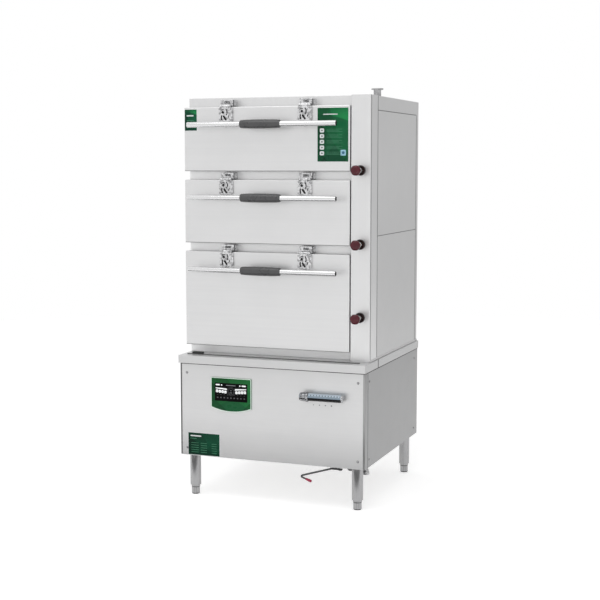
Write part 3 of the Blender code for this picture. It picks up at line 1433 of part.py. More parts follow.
def build_door(name):
    """One door: outer pan, inner pan, seal, hinge leaves, handle bar and grip, all on the hinge axis."""
    bottom, top = door_span(name)
    skin = block("door_%s_skin" % name, (door_left, door_front, bottom), (door_right, door_back, top),
                 "brushed_steel", open_side=(1, 1))
    bevel(skin, DOOR_ROUND)
    sheet(skin, DOOR_SHEET)
    fit = DOOR_SHEET + LINER_PLAY
    liner = block("door_%s_liner" % name, (door_left + fit, door_back - LINER_DEPTH, bottom + fit),
                  (door_right - fit, door_back, top - fit), "tube_steel", open_side=(1, -1))
    sheet(liner, DOOR_SHEET)
    inset = SEAL_INSET
    width = SEAL_WIDTH
    seal = block("door_%s_seal" % name, (door_left + inset, door_back + GAP, bottom + inset),
                 (door_right - inset, frame_front - GAP, top - inset), "seal_rubber")
    inside = inset + width
    cut(seal, block("seal_inside", (door_left + inside, door_back - OVERRUN, bottom + inside),
                    (door_right - inside, frame_front + OVERRUN, top - inside)))
    bar_z = top - BAR_DROP
    bar_y = door_front - BAR_STANDOFF
    bar_left = door_middle_x - bar_length / 2
    bar = cylinder("door_%s_handle" % name, BAR_RADIUS, bar_length, (bar_left, bar_y, bar_z), RIGHT,
                   "brushed_steel", sides=24)
    for x in hinge_places():
        join(bar, cylinder("bar_post", BAR_POST_RADIUS, BAR_STANDOFF - GAP - OVERRUN / 2,
                           (x, door_front - GAP - OVERRUN / 2, bar_z), FRONT, sides=12))
        foot = cylinder("bar_foot", BAR_FOOT_RADIUS, BAR_FOOT_THICKNESS, (x, door_front - GAP, bar_z),
                        FRONT, sides=16)
        join(bar, foot, build_leaf(name, x))
    cut(bar, cylinder("bar_bore", BAR_RADIUS - BAR_WALL, bar_length + 2 * OVERRUN,
                      (bar_left - OVERRUN, bar_y, bar_z), RIGHT, sides=16))
    length = GRIP_LENGTH
    bore = BAR_RADIUS + GAP
    swell = GRIP_MIDDLE_RADIUS - GRIP_END_RADIUS
    outer = []
    for step in range(GRIP_STEPS + 1):
        share = step / GRIP_STEPS
        outer.append((GRIP_END_RADIUS + swell * math.sqrt(math.sin(math.pi * share)), length * (1 - share)))
    grip_profile = outer + [(bore, 0.0), (bore, length)]
    grip = turned("door_%s_grip" % name, grip_profile, (door_middle_x - length / 2, bar_y, bar_z), RIGHT,
                  "grip_rubber", steps=20, closed=True)
    carry(pivot("door_%s_axis" % name, door_axis(name)), skin, liner, seal, bar, grip)


def build_all():
    global parts, cutters
    clear_scene()
    parts = make_collection("seafood_steamer_cabinet")
    cutters = make_collection("cutters")
    build_frame()
    build_front_panel()
    build_right_panel()
    build_wrap_panel()
    build_tray()
    build_leg_base()
    build_feet()
    build_tank()
    build_coil()
    build_inverter()
    build_fan()
    build_service_plate()
    build_float_valve()
    build_float_arm()
    build_drain_pipe()
    build_drain_lever()
    build_control_panel()
    build_slider()
    build_casing()
    build_front_frame()
    build_duct_cover()
    build_side_covers()
    build_insulation()
    build_riser()
    build_hinges()
    for name in DOOR_HEIGHTS:
        build_chamber(name)
        build_rack(name)
        build_door(name)
    for name in knob_heights:
        build_knob(name)
    bpy.context.view_layer.update()


build_all()
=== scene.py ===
# Looks for the three-door seafood steamer cabinet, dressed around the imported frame. Metres, +Z up.
import math

import bmesh
import bpy
from mathutils import Euler, Matrix, Vector


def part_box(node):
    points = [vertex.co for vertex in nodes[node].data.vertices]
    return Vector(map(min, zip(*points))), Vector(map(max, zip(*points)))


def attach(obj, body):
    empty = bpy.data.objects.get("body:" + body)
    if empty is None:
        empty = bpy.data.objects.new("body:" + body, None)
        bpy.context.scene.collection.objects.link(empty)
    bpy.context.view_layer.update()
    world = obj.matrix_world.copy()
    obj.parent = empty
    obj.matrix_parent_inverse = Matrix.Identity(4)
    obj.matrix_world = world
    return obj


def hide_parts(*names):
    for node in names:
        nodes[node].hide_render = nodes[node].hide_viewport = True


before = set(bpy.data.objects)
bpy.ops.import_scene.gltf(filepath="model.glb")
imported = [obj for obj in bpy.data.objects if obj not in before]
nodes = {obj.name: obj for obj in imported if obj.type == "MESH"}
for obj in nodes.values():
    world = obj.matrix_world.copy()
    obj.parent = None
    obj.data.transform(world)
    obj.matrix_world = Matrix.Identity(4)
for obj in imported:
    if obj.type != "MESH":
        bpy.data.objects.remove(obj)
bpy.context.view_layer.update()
levels = ("bottom", "middle", "top")
print("frame loaded:", len(nodes), "nodes")

toRight, toRear, toTop, toFront, toFloor = (1, 0, 0), (0, 1, 0), (0, 0, 1), (0, -1, 0), (0, 0, -1)
facingFront = (math.pi / 2, 0, 0)
mergeDistance = 1e-6


# Points: profiles hold (radius, distance along the axis), outlines hold (across, up)

def rim(radius, start, end, edge=0.0006):
    # a cylinder's wall with both edges broken
    step = math.copysign(edge, end - start)
    return [(radius - edge, start), (radius, start + step), (radius, end - step), (radius - edge, end)]


def pin(radius, length):
    return [(0, 0), (radius, 0), (radius, length), (0, length)]


def arc(centre, radius, start, end, steps):
    angles = [math.radians(start + (end - start) * s / steps) for s in range(steps + 1)]
    return [(centre[0] + radius * math.cos(a), centre[1] + radius * math.sin(a)) for a in angles]


def circlePoints(radius, centre=(0, 0), steps=24):
    return arc(centre, radius, 0, 360, steps)[:-1]


def roundedRect(width, height, radius, centre=(0, 0), steps=6):
    points = []
    for sx, sy, start in ((1, 1, 0), (-1, 1, 90), (-1, -1, 180), (1, -1, 270)):
        corner = (centre[0] + sx * (width / 2 - radius), centre[1] + sy * (height / 2 - radius))
        points += arc(corner, radius, start, start + 90, steps)
    return points


def slotPoints(length, width, centre, tilt, steps=8):
    # a straight slot with round ends
    half = length / 2 - width / 2
    flat = arc((half, 0), width / 2, -90, 90, steps) + arc((-half, 0), width / 2, 90, 270, steps)
    sine, cosine = math.sin(math.radians(tilt)), math.cos(math.radians(tilt))
    return [(centre[0] + x * cosine - y * sine, centre[1] + x * sine + y * cosine) for x, y in flat]


def curvedSlot(centre, radius, start, end, breadth, steps=10):
    # a slot that follows an arc, with round ends
    startMiddle, endMiddle = (arc(centre, radius, at, at, 1)[0] for at in (start, end))
    half = breadth / 2
    outer = arc(centre, radius + half, start, end, steps)
    inner = arc(centre, radius - half, end, start, steps)
    farEnd = arc(endMiddle, half, end, end + 180, 6)[1:-1]
    nearEnd = arc(startMiddle, half, start + 180, start + 360, 6)[1:-1]
    return outer + farEnd + inner + nearEnd


def bentLine(corners, radius, steps=8):
    # a line with each inner corner bent to that radius
    line = [Vector(corners[0])]
    for before, corner, after in zip(corners, corners[1:], corners[2:]):
        before, corner, after = Vector(before), Vector(corner), Vector(after)
        a, b = (before - corner).normalized(), (after - corner).normalized()
        half = a.angle(b) / 2
        centre = corner + (a + b).normalized() * (radius / math.sin(half))
        first = corner + a * radius / math.tan(half) - centre
        last = corner + b * radius / math.tan(half) - centre
        sweep = first.angle(last)
        for s in range(steps + 1):
            ahead, behind = math.sin(s / steps * sweep), math.sin((1 - s / steps) * sweep)
            line.append(centre + (first * behind + last * ahead) / math.sin(sweep))
    return line + [Vector(corners[-1])]


# Meshes, and the pieces that they add up to

def addObject(name, data):
    thing = bpy.data.objects.new(name, data)
    bpy.context.scene.collection.objects.link(thing)
    return thing


def closedMesh(bm):
    bmesh.ops.remove_doubles(bm, verts=bm.verts, dist=mergeDistance)
    bmesh.ops.recalc_face_normals(bm, faces=bm.faces)
    mesh = bpy.data.meshes.new("mesh")
    bm.to_mesh(mesh)
    bm.free()
    return mesh


def blockMesh(low, high, radius, segments):
    # a block with rounded edges
    low, high = Vector(low), Vector(high)
    bm = bmesh.new()
    bmesh.ops.create_cube(bm, size=1.0)
    bmesh.ops.scale(bm, vec=high - low, verts=bm.verts)
    bmesh.ops.bevel(bm, geom=bm.edges[:], offset=radius, segments=segments, profile=0.5, affect="EDGES")
    bmesh.ops.translate(bm, vec=(high + low) / 2, verts=bm.verts)
    return closedMesh(bm)


def turnedMesh(profile, origin, axis, steps):
    # a profile spun once round the axis
    turn = Vector((0, 0, 1)).rotation_difference(Vector(axis).normalized()).to_matrix()
    bm = bmesh.new()
    rings = []
    for radius, along in profile:
        angles = [math.tau * step / steps for step in range(steps if radius > 0 else 1)]
        spots = [Vector((radius * math.cos(a), radius * math.sin(a), along)) for a in angles]
        rings.append([bm.verts.new(Vector(origin) + turn @ spot) for spot in spots])
    for ringA, ringB in zip(rings, rings[1:]):
        for step in range(steps):
            after = (step + 1) % steps
            if len(ringA) == 1 and len(ringB) > 1:
                bm.faces.new((ringA[0], ringB[step], ringB[after]))
            elif len(ringB) == 1 and len(ringA) > 1:
                bm.faces.new((ringA[step], ringB[0], ringA[after]))
            elif len(ringA) > 1:
                bm.faces.new((ringA[step], ringB[step], ringB[after], ringA[after]))
    return closedMesh(bm)


def curveMesh(lines, settings, place=Matrix(), closed=False):
    # the mesh that a curve makes
    curve = bpy.data.curves.new("curve", "CURVE")
    for key, value in settings.items():
        setattr(curve, key, value)
    for line in lines:
        spline = curve.splines.new("POLY")
        spline.points.add(len(line) - 1)
        for point, spot in zip(spline.points, line):
            point.co = (*spot, 1.0) if len(spot) == 3 else (*spot, 0.0, 1.0)
        spline.use_cyclic_u = closed
    thing = addObject("curve", curve)
    thing.matrix_world = place
    bpy.context.view_layer.update()
    graph = bpy.context.evaluated_depsgraph_get()
    mesh = bpy.data.meshes.new_from_object(thing.evaluated_get(graph))
    mesh.transform(thing.matrix_world)
    bpy.data.objects.remove(thing, do_unlink=True)
    return mesh


def carve(mesh, axes, centre, least, cut):
    # moves the points beyond a distance from an axis nearer to it; cut(angle, distance, point) says how far
    first, second = axes
    for vertex in mesh.vertices:
        a, b = vertex.co[first] - centre[0], vertex.co[second] - centre[1]
        away = math.hypot(a, b)
        if away > least:
            share = 1 - cut(math.atan2(b, a), away, vertex.co) / away
            vertex.co[first], vertex.co[second] = centre[0] + a * share, centre[1] + b * share


def middleOf(name, first, second):
    # the middle of a CAD node's box, along two of the axes
    low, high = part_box(name)
    return (low[first] + high[first]) / 2, (low[second] + high[second]) / 2


def fourCorners(across, up):
    return [(sx * across, sy * up) for sx in (-1, 1) for sy in (-1, 1)]


def dress(thing, body, slot, *replaced):
    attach(thing, body)
    if replaced:
        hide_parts(*replaced)


def smoothObject(name, mesh, finishes, angle=35):
    for finish in finishes:
        mesh.materials.append(finish)
    mesh.shade_smooth()
    mesh.set_sharp_from_angle(angle=math.radians(angle))
    return addObject(name, mesh)


class Piece:
    # one visible object, gathered from blocks, turned shapes, rods and plates
    def __init__(self, name):
        self.name = name
        self.bm = bmesh.new()
        self.finishes = []

    def take(self, mesh, finish):
        start = len(self.bm.faces)
        self.bm.from_mesh(mesh)
        self.bm.faces.ensure_lookup_table()
        if finish not in self.finishes:
            self.finishes.append(finish)
        for face in self.bm.faces[start:]:
            face.material_index = self.finishes.index(finish)
        bpy.data.meshes.remove(mesh)

    def block(self, low, high, radius, finish, segments=2):
        self.take(blockMesh(low, high, radius, segments), finish)

    def flank(self, way, near, far, low, high, radius, finish, segments=2):
        # a block on one side: near and far from the middle, low and high in y and z
        inner, outer = sorted((way * near, way * far))
        self.block((inner, *low), (outer, *high), radius, finish, segments)

    def turned(self, profile, origin, axis, steps, finish):
        self.take(turnedMesh(profile, origin, axis, steps), finish)

    def rod(self, points, radius, sides, finish):
        settings = dict(dimensions="3D", bevel_depth=radius, bevel_resolution=max(1, sides // 2 - 2),
                        use_fill_caps=True)
        self.take(curveMesh([points], settings), finish)

    def plate(self, outlines, thickness, place, finish, bevel=0.0, turn=facingFront):
        # a flat plate from closed outlines; inner outlines are holes; place is the middle of its back
        settings = dict(dimensions="2D", fill_mode="BOTH", extrude=thickness / 2 - bevel, bevel_depth=bevel,
                        bevel_resolution=2, offset=-bevel)
        turned = Matrix.Translation(place) @ Euler(turn).to_matrix().to_4x4()
        self.take(curveMesh(outlines, settings, turned @ Matrix.Translation((0, 0, thickness / 2)), True),
                  finish)

    def nut(self, radius, height, place, axis, finish, bore=0.0):
        # six flats with chamfered corners
        edge, chamfer = radius * 0.10, radius * 0.06
        profile = [(bore, 0.0), (radius - edge, 0.0), (radius, chamfer), (radius, height - chamfer),
                   (radius - edge, height), (bore, height)]
        self.turned(profile + [(bore, 0.0)] if bore else profile, place, axis, 6, finish)

    def screw(self, place, axis, radius, height):
        # a domed screw with a raised cross; place is on the face it is driven into
        shares = ((0.0, 1.0), (0.35, 0.97), (0.7, 0.75), (0.93, 0.4), (1.0, 0.0))
        self.turned([(radius * across, height * up) for across, up in shares], place, axis, 20, screwSteel)
        arm, half = radius * 0.55, radius * 0.14
        quarter = [(arm, half), (half, half), (half, arm)]
        cross = [(sx * x, sy * y) for sx, sy, turn in ((1, 1, 1), (-1, 1, -1), (-1, -1, 1), (1, -1, -1))
                 for x, y in quarter[::turn]]
        way = Vector(axis)
        self.plate([cross], height * 0.12, Vector(place) + way * height * 0.95, screwSteel,
                   turn=way.to_track_quat("Z", "Y").to_euler())

    def done(self, body, slot, *replaced, angle=35):
        mesh = bpy.data.meshes.new(self.name)
        self.bm.to_mesh(mesh)
        self.bm.free()
        dress(smoothObject(self.name, mesh, self.finishes, angle), body, slot, *replaced)


def wear(material, *names):
    # a CAD node keeps its shape and takes a finish
    for name in names:
        for slot in nodes[name].material_slots:
            slot.material = material


# Shader groups that several finishes share

class Nodes:
    # adds nodes to one shader tree; a value is a number, a tuple or another node's socket
    def __init__(self, tree):
        self.tree = tree

    def feed(self, socket, value):
        if isinstance(value, bpy.types.NodeSocket):
            self.tree.links.new(value, socket)
        else:
            socket.default_value = value

    def add(self, kind, values, settings=()):
        made = self.tree.nodes.new("ShaderNode" + kind)
        for key, value in dict(settings).items():
            setattr(made, key, value)
        for label, value in values.items():
            self.feed(made.inputs[label], value)
        return made.outputs

    def maths(self, operation, *values, clamp=False):
        return self.add("Math", dict(enumerate(values)), dict(operation=operation, use_clamp=clamp))[0]

    def plus(self, a, b):
        return self.maths("ADD", a, b)

    def minus(self, a, b):
        return self.maths("SUBTRACT", a, b)

    def times(self, a, b):
        return self.maths("MULTIPLY", a, b)

    def away(self, a, b):
        return self.maths("ABSOLUTE", self.minus(a, b))

    def ramp(self, *values):
        # value, from low, from high, to low (0), to high (1)
        return self.add("MapRange", dict(enumerate(values)))[0]

    def stretch(self, vector, factor):
        return self.add("VectorMath", {0: vector, 1: factor}, dict(operation="MULTIPLY"))[0]

    def mix(self, factor, a, b):
        return self.add("Mix", {0: factor, 6: a, 7: b}, dict(data_type="RGBA"))[2]

    def noise(self, vector, scale, detail=3.0, roughness=0.55):
        values = dict(Vector=vector, Scale=scale, Detail=detail, Roughness=roughness)
        return self.add("TexNoise", values)["Fac"]

    def split(self, vector):
        return self.add("SeparateXYZ", {0: vector})

    def group(self, group, **values):
        return self.add("Group", values, dict(node_tree=group))

    def bump(self, inputs, height, strength, distance):
        values = dict(Strength=strength, Distance=distance, Height=height)
        self.feed(inputs["Normal"], self.add("Bump", values)[0])


def newGroup(name, inputs, outputs):
    group = bpy.data.node_groups.new(name, "ShaderNodeTree")
    for label, kind, value in (("Vector", "Vector", (0, 0, 0)), *inputs):
        socket = group.interface.new_socket(name=label, in_out="INPUT", socket_type="NodeSocket" + kind)
        socket.default_value = value
    for label in outputs:
        group.interface.new_socket(name=label, in_out="OUTPUT", socket_type="NodeSocketFloat")
    takes, gives = group.nodes.new("NodeGroupInput").outputs, group.nodes.new("NodeGroupOutput").inputs
    return group, Nodes(group), takes, gives


def makeBrushing():
    # long polishing lines; Stretch is high across the lines and low along them
    group, n, takes, gives = newGroup("brushingLines", [("Stretch", "Vector", (8, 8, 900))],
                                      ["Shade", "Height"])
    pulled = n.stretch(takes["Vector"], takes["Stretch"])
    fine = n.noise(pulled, 1.0, 4.0, 0.65)
    wide = n.noise(n.stretch(pulled, (0.09, 0.09, 0.09)), 1.0, 2.0)
    n.feed(gives["Shade"], n.plus(n.times(fine, 0.6), n.times(wide, 0.4)))
    n.feed(gives["Height"], fine)
    return group


def makeHandling():
    # faint smears and a light film where the metal is touched and wiped
    group, n, takes, gives = newGroup("handlingMarks", [("Size", "Float", 6.0)], ["Smear", "Film"])
    swirl = n.noise(n.stretch(takes["Vector"], (3.1, 3.1, 5.3)), takes["Size"], 5.0, 0.7)
    n.feed(gives["Smear"], n.ramp(swirl, 0.52, 0.74))
    n.feed(gives["Film"], n.noise(takes["Vector"], takes["Size"], 3.0, 0.6))
    return group


def makeScratches():
    # few hair-thin scratches in two directions
    group, n, takes, gives = newGroup("hairScratches", [("Amount", "Float", 0.5)], ["Mask"])
    masks = []
    for stretch, size in (((4.0, 4.0, 60.0), 5.0), ((55.0, 55.0, 6.0), 4.0)):
        lines = n.noise(n.stretch(takes["Vector"], stretch), size, 2.0, 0.5)
        gate = n.ramp(n.noise(takes["Vector"], 9.0, 2.0), 0.56, 0.66)
        masks.append(n.times(n.ramp(n.away(lines, 0.5), 0.0, 0.004, 1.0, 0.0), gate))
    both = n.maths("MAXIMUM", *masks)
    n.feed(gives["Mask"], n.maths("MULTIPLY", both, takes["Amount"], clamp=True))
    return group


def makeMouldGrain():
    # the fine pebble of moulded plastic, paint or rubber
    group, n, takes, gives = newGroup("mouldGrain", [("Fineness", "Float", 900.0)], ["Shade", "Height"])
    n.feed(gives["Shade"], n.noise(takes["Vector"], 14.0, 3.0, 0.6))
    n.feed(gives["Height"], n.noise(takes["Vector"], takes["Fineness"], 2.0, 0.5))
    return group


brushing, handling, scratches, mouldGrain = makeBrushing(), makeHandling(), makeScratches(), makeMouldGrain()
print("shader groups built")


# Finishes

def startMaterial(name):
    material = bpy.data.materials.new(name)
    material.use_nodes = True
    tree = material.node_tree
    where = tree.nodes.new("ShaderNodeTexCoord").outputs["Object"]
    return material, Nodes(tree), tree.nodes["Principled BSDF"].inputs, where


def grey(value, blue=0.0):
    return value, value, value + blue


def tint(colour, factor=1.0, lift=0.0):
    return (*[min(1, c * factor + lift) for c in colour], 1)


def steel(name, light, dark, stretch, rough=0.36, metal=0.75, smears=0.5, depth=0.06, paintedShade=None, seam=None):
    # brushed stainless sheet: lines, a wiped film, a few scratches
    # one setting darkens it along one axis as painted shade, and seam is a slit in its right face
    material, n, inputs, where = startMaterial(name)
    lines = n.group(brushing, Vector=where, Stretch=stretch)
    marks = n.group(handling, Vector=where, Size=3.2)
    hair = n.group(scratches, Vector=where, Amount=0.35)["Mask"]
    colour = n.mix(n.ramp(lines["Shade"], 0.22, 0.78), tint(dark), tint(light))
    colour = n.mix(n.ramp(marks["Film"], 0.35, 0.7, 0.0, 0.22), colour, tint(dark, 0.9))
    colour = n.mix(hair, colour, tint(light, 1.12))
    place = n.split(where)
    if paintedShade:
        axis, start, end, loss = paintedShade
        colour = n.mix(n.ramp(place[axis], start, end, 0.0, loss), colour, (0, 0, 0, 1))
    if seam:
        face, middle, half = seam
        slit = n.ramp(n.away(place[1], middle), half, half + 0.001, 1.0, 0.0)
        colour = n.mix(n.times(slit, n.ramp(place[0], face, face + 0.0005)), colour, (0.01, 0.01, 0.01, 1))
    n.feed(inputs["Base Color"], colour)
    base = n.ramp(lines["Shade"], 0.3, 0.7, rough - 0.05, rough + 0.06)
    n.feed(inputs["Roughness"], n.plus(base, n.times(marks["Smear"], 0.07 * smears)))
    inputs["Metallic"].default_value = metal
    n.bump(inputs, lines["Height"], depth, 0.0002)
    return material


def polished(name, colour, rough, wave, dim=0.82, cloudy=0.0):
    # cast or turned metal, polished, with a soft wave and a darker random film; cloudy darkens it in random
    # patches
    material, n, inputs, where = startMaterial(name)
    marks = n.group(handling, Vector=where, Size=18.0)
    hair = n.group(scratches, Vector=where, Amount=0.6)["Mask"]
    shade = n.mix(n.ramp(marks["Film"], 0.35, 0.68), tint(colour, dim), tint(colour))
    if cloudy:
        patches = n.ramp(n.noise(where, 85.0, 4.0, 0.6), 0.47, 0.60, 0.0, cloudy)
        shade = n.mix(patches, shade, tint(colour, 0.30))
    n.feed(inputs["Base Color"], shade)
    base = n.plus(n.ramp(marks["Film"], 0.3, 0.7, rough, rough + 0.08), n.times(hair, 0.15))
    n.feed(inputs["Roughness"], n.plus(base, n.times(marks["Smear"], 0.08)))
    inputs["Metallic"].default_value = 1.0
    n.bump(inputs, n.noise(where, wave, 2.0), 0.10, 0.0008)
    return material


def moulded(name, colour, shade, rough, fineness, depth, coat=0.0, specular=0.5, glow=0.0):
    # plastic, rubber, paint or print: fine pebble, soft cloud of tone, a little wear
    material, n, inputs, where = startMaterial(name)
    grain = n.group(mouldGrain, Vector=where, Fineness=fineness)
    marks = n.group(handling, Vector=where, Size=22.0)
    mixed = n.mix(n.ramp(grain["Shade"], 0.25, 0.75), tint(shade), tint(colour))
    n.feed(inputs["Base Color"], n.mix(n.times(marks["Smear"], 0.18), mixed, tint(colour, 1.5, 0.02)))
    base = n.ramp(grain["Shade"], 0.3, 0.7, rough - 0.04, rough + 0.06)
    n.feed(inputs["Roughness"], n.plus(base, n.times(marks["Smear"], 0.08)))
    inputs["Coat Weight"].default_value = coat
    inputs["Specular IOR Level"].default_value = specular
    inputs["Emission Color"].default_value = (1, 1, 1, 1)
    inputs["Emission Strength"].default_value = glow
    n.bump(inputs, grain["Height"], depth, 0.0003)
    return material


acrossLines, uprightLines = (5, 900, 900), (900, 900, 5)
frontTones, postTones = (grey(0.745), grey(0.685, 0.005)), (grey(0.745), grey(0.69, 0.005))
frontSteel = steel("frontSteel", *frontTones, acrossLines)
# painted shade: the base front darkens towards its top, under the worktop's rim
baseFrontSteel = steel("baseFrontSteel", *frontTones, acrossLines, paintedShade=(2, 0.38, 0.66, 0.14))
postSteel = steel("postSteel", *postTones, uprightLines)
# painted shade: the upper side darkens towards its bottom
sideSteel = steel("sideSteel", grey(0.74), grey(0.68, 0.005), uprightLines, 0.42, paintedShade=(2, 1.5, 0.7, 0.17))
# the base's sides take a darker copy of the side steel: painted shade
shadedBaseSideSteel = steel("shadedBaseSideSteel", grey(0.39), grey(0.345, 0.005), uprightLines, 0.40)
# painted shade: the worktop's right face is darkened; the seam is a real slit in it
worktopSteel = steel("worktopSteel", grey(0.66), grey(0.60, 0.005), acrossLines, 0.34, 0.5,
                     paintedShade=(0, 0.4525, 0.4535, 0.14), seam=(0.4528, -0.2355, 0.0055))
# the front frame is painted lighter than the fronts: painted light that offsets the shade in its recess
# behind the doors
litFrameSteel = steel("litFrameSteel", grey(0.93), grey(0.89, 0.005), acrossLines, 0.36, 0.4)
barSteel = steel("barSteel", grey(0.74), grey(0.68, 0.01), (6, 500, 500), 0.17, 1.0, 0.2, 0.008)
legSteel = steel("legSteel", grey(0.43, 0.005), grey(0.34, 0.005), (700, 700, 6), 0.28, 1.0, depth=0.03)
pipeSteel = steel("pipeSteel", grey(0.58), grey(0.40, 0.01), (300, 300, 40), 0.34, 0.9)
innerSteel = steel("innerSteel", grey(0.58, 0.005), grey(0.46, 0.01), (40, 40, 300), 0.40, 0.85, 1.5)
tankSteel = steel("tankSteel", grey(0.55), (0.43, 0.42, 0.41), (60, 60, 60), 0.45, 0.85, 2.0)
castChrome = polished("castChrome", grey(0.74, 0.01), 0.20, 120.0, cloudy=0.75)
brightChrome = polished("brightChrome", (0.74, 0.75, 0.77), 0.14, 40.0, 0.6, 0.85)
ringChrome = polished("ringChrome", (0.50, 0.51, 0.53), 0.10, 60.0, 0.5, 0.9)
springSteel = polished("springSteel", grey(0.30, 0.01), 0.25, 400.0)
rodSteel = polished("rodSteel", grey(0.15, 0.005), 0.30, 300.0)
screwSteel = polished("screwSteel", grey(0.46, 0.01), 0.24, 700.0, cloudy=0.5)
neckBrass = polished("neckBrass", (0.62, 0.44, 0.33), 0.28, 300.0)
coilCopper = polished("coilCopper", (0.62, 0.30, 0.17), 0.35, 150.0)
gripPlastic = moulded("gripPlastic", grey(0.072, 0.002), grey(0.054, 0.002), 0.28, 1400.0, 0.10)
knobPlastic = moulded("knobPlastic", (0.105, 0.006, 0.016), (0.045, 0.003, 0.007), 0.10, 500.0, 0.01,
                      specular=0.35)
collarPlastic = moulded("collarPlastic", (0.018, 0.004, 0.005), (0.006, 0.002, 0.002), 0.14, 500.0, 0.01,
                        specular=0.35)
tipPlastic = moulded("tipPlastic", (0.42, 0.018, 0.07), (0.30, 0.010, 0.045), 0.30, 500.0, 0.05, 0.3)
leverPaint = moulded("leverPaint", grey(0.030, 0.002), grey(0.018, 0.002), 0.35, 1200.0, 0.15)
sealRubber = moulded("sealRubber", grey(0.20, 0.005), grey(0.14, 0.005), 0.62, 1500.0, 0.25)
# near-black strips that paint the shade under the worktop's rim and behind it
shadeStripBlack = moulded("shadeStripBlack", grey(0.10), grey(0.07), 0.6, 1500.0, 0.2)
# dark grey for the real joints, and for the painted shadow rings round the panel screws
jointAndShadeGrey = moulded("jointAndShadeGrey", grey(0.16, 0.005), grey(0.11, 0.005), 0.6, 1500.0, 0.2)
# painted shade along the doors' bottom edges
hemShadeGrey = moulded("hemShadeGrey", grey(0.22), grey(0.16), 0.6, 1500.0, 0.2)
dimGrey = moulded("dimGrey", grey(0.085, 0.005), grey(0.05, 0.005), 0.5, 1500.0, 0.05)
soleRubber = moulded("soleRubber", grey(0.045), grey(0.03), 0.7, 1200.0, 0.3)
framePaint = moulded("framePaint", (0.30, 0.31, 0.32), (0.24, 0.25, 0.26), 0.5, 1600.0, 0.2)
blackPlastic = moulded("blackPlastic", grey(0.022, 0.002), grey(0.014, 0.002), 0.42, 1300.0, 0.2)
floatPlastic = moulded("floatPlastic", grey(0.72, -0.04), grey(0.62, -0.04), 0.45, 900.0, 0.1)
# near-black: black print, the studio card, a black block at the worktop's front left, and painted shade in
# the door slits, behind the hinge leaves and under the foot collars
blackAndPaintedShade = moulded("blackAndPaintedShade", grey(0.02), grey(0.012), 0.7, 900.0, 0.1)
keyWhite = moulded("keyWhite", (0.78, 0.80, 0.80), (0.66, 0.69, 0.70), 0.35, 1500.0, 0.05)
whiteInk = (0.80, 0.82, 0.82), (0.72, 0.75, 0.75), 0.45, 1500.0, 0.05
markWhite = moulded("markWhite", *whiteInk)
markGrey = moulded("markGrey", (0.24, 0.25, 0.26), (0.18, 0.19, 0.20), 0.5, 1500.0, 0.05)
# the display's keys are lit from behind
litWhite = moulded("litWhite", *whiteInk, glow=0.3)
skyPlate = moulded("skyPlate", (0.35, 0.60, 0.72), (0.28, 0.52, 0.66), 0.35, 1500.0, 0.05)
mintPrint = moulded("mintPrint", (0.07, 0.27, 0.15), (0.045, 0.20, 0.11), 0.45, 1500.0, 0.05)
tealPrint = moulded("tealPrint", (0.04, 0.16, 0.26), (0.03, 0.12, 0.20), 0.4, 1500.0, 0.05)
paleBorder = moulded("paleBorder", (0.80, 0.94, 0.84), (0.74, 0.90, 0.79), 0.45, 1500.0, 0.05)


def rockWool():
    material, n, inputs, where = startMaterial("rockWool")
    fibres = n.noise(n.stretch(where, (1.0, 1.0, 3.0)), 160.0, 6.0, 0.75)
    clumps = n.noise(where, 24.0, 4.0, 0.6)
    colour = n.mix(n.ramp(fibres, 0.3, 0.7), (0.30, 0.25, 0.13, 1), (0.60, 0.53, 0.34, 1))
    n.feed(inputs["Base Color"], n.mix(n.ramp(clumps, 0.4, 0.7, 0.0, 0.4), colour, (0.42, 0.37, 0.26, 1)))
    inputs["Roughness"].default_value = 0.95
    n.bump(inputs, n.plus(fibres, clumps), 0.7, 0.004)
    return material


def displayGlass():
    # black glass with a faint lighter sweep
    material, n, inputs, where = startMaterial("displayGlass")
    sweep = n.ramp(n.noise(where, 9.0, 2.0), 0.4, 0.65)
    n.feed(inputs["Base Color"], n.mix(sweep, (0.002, 0.002, 0.002, 1), (0.005, 0.006, 0.006, 1)))
    smear = n.group(handling, Vector=where, Size=40.0)["Smear"]
    n.feed(inputs["Roughness"], n.ramp(smear, 0.0, 1.0, 0.08, 0.2))
    inputs["Specular IOR Level"].default_value = 0.04
    return material


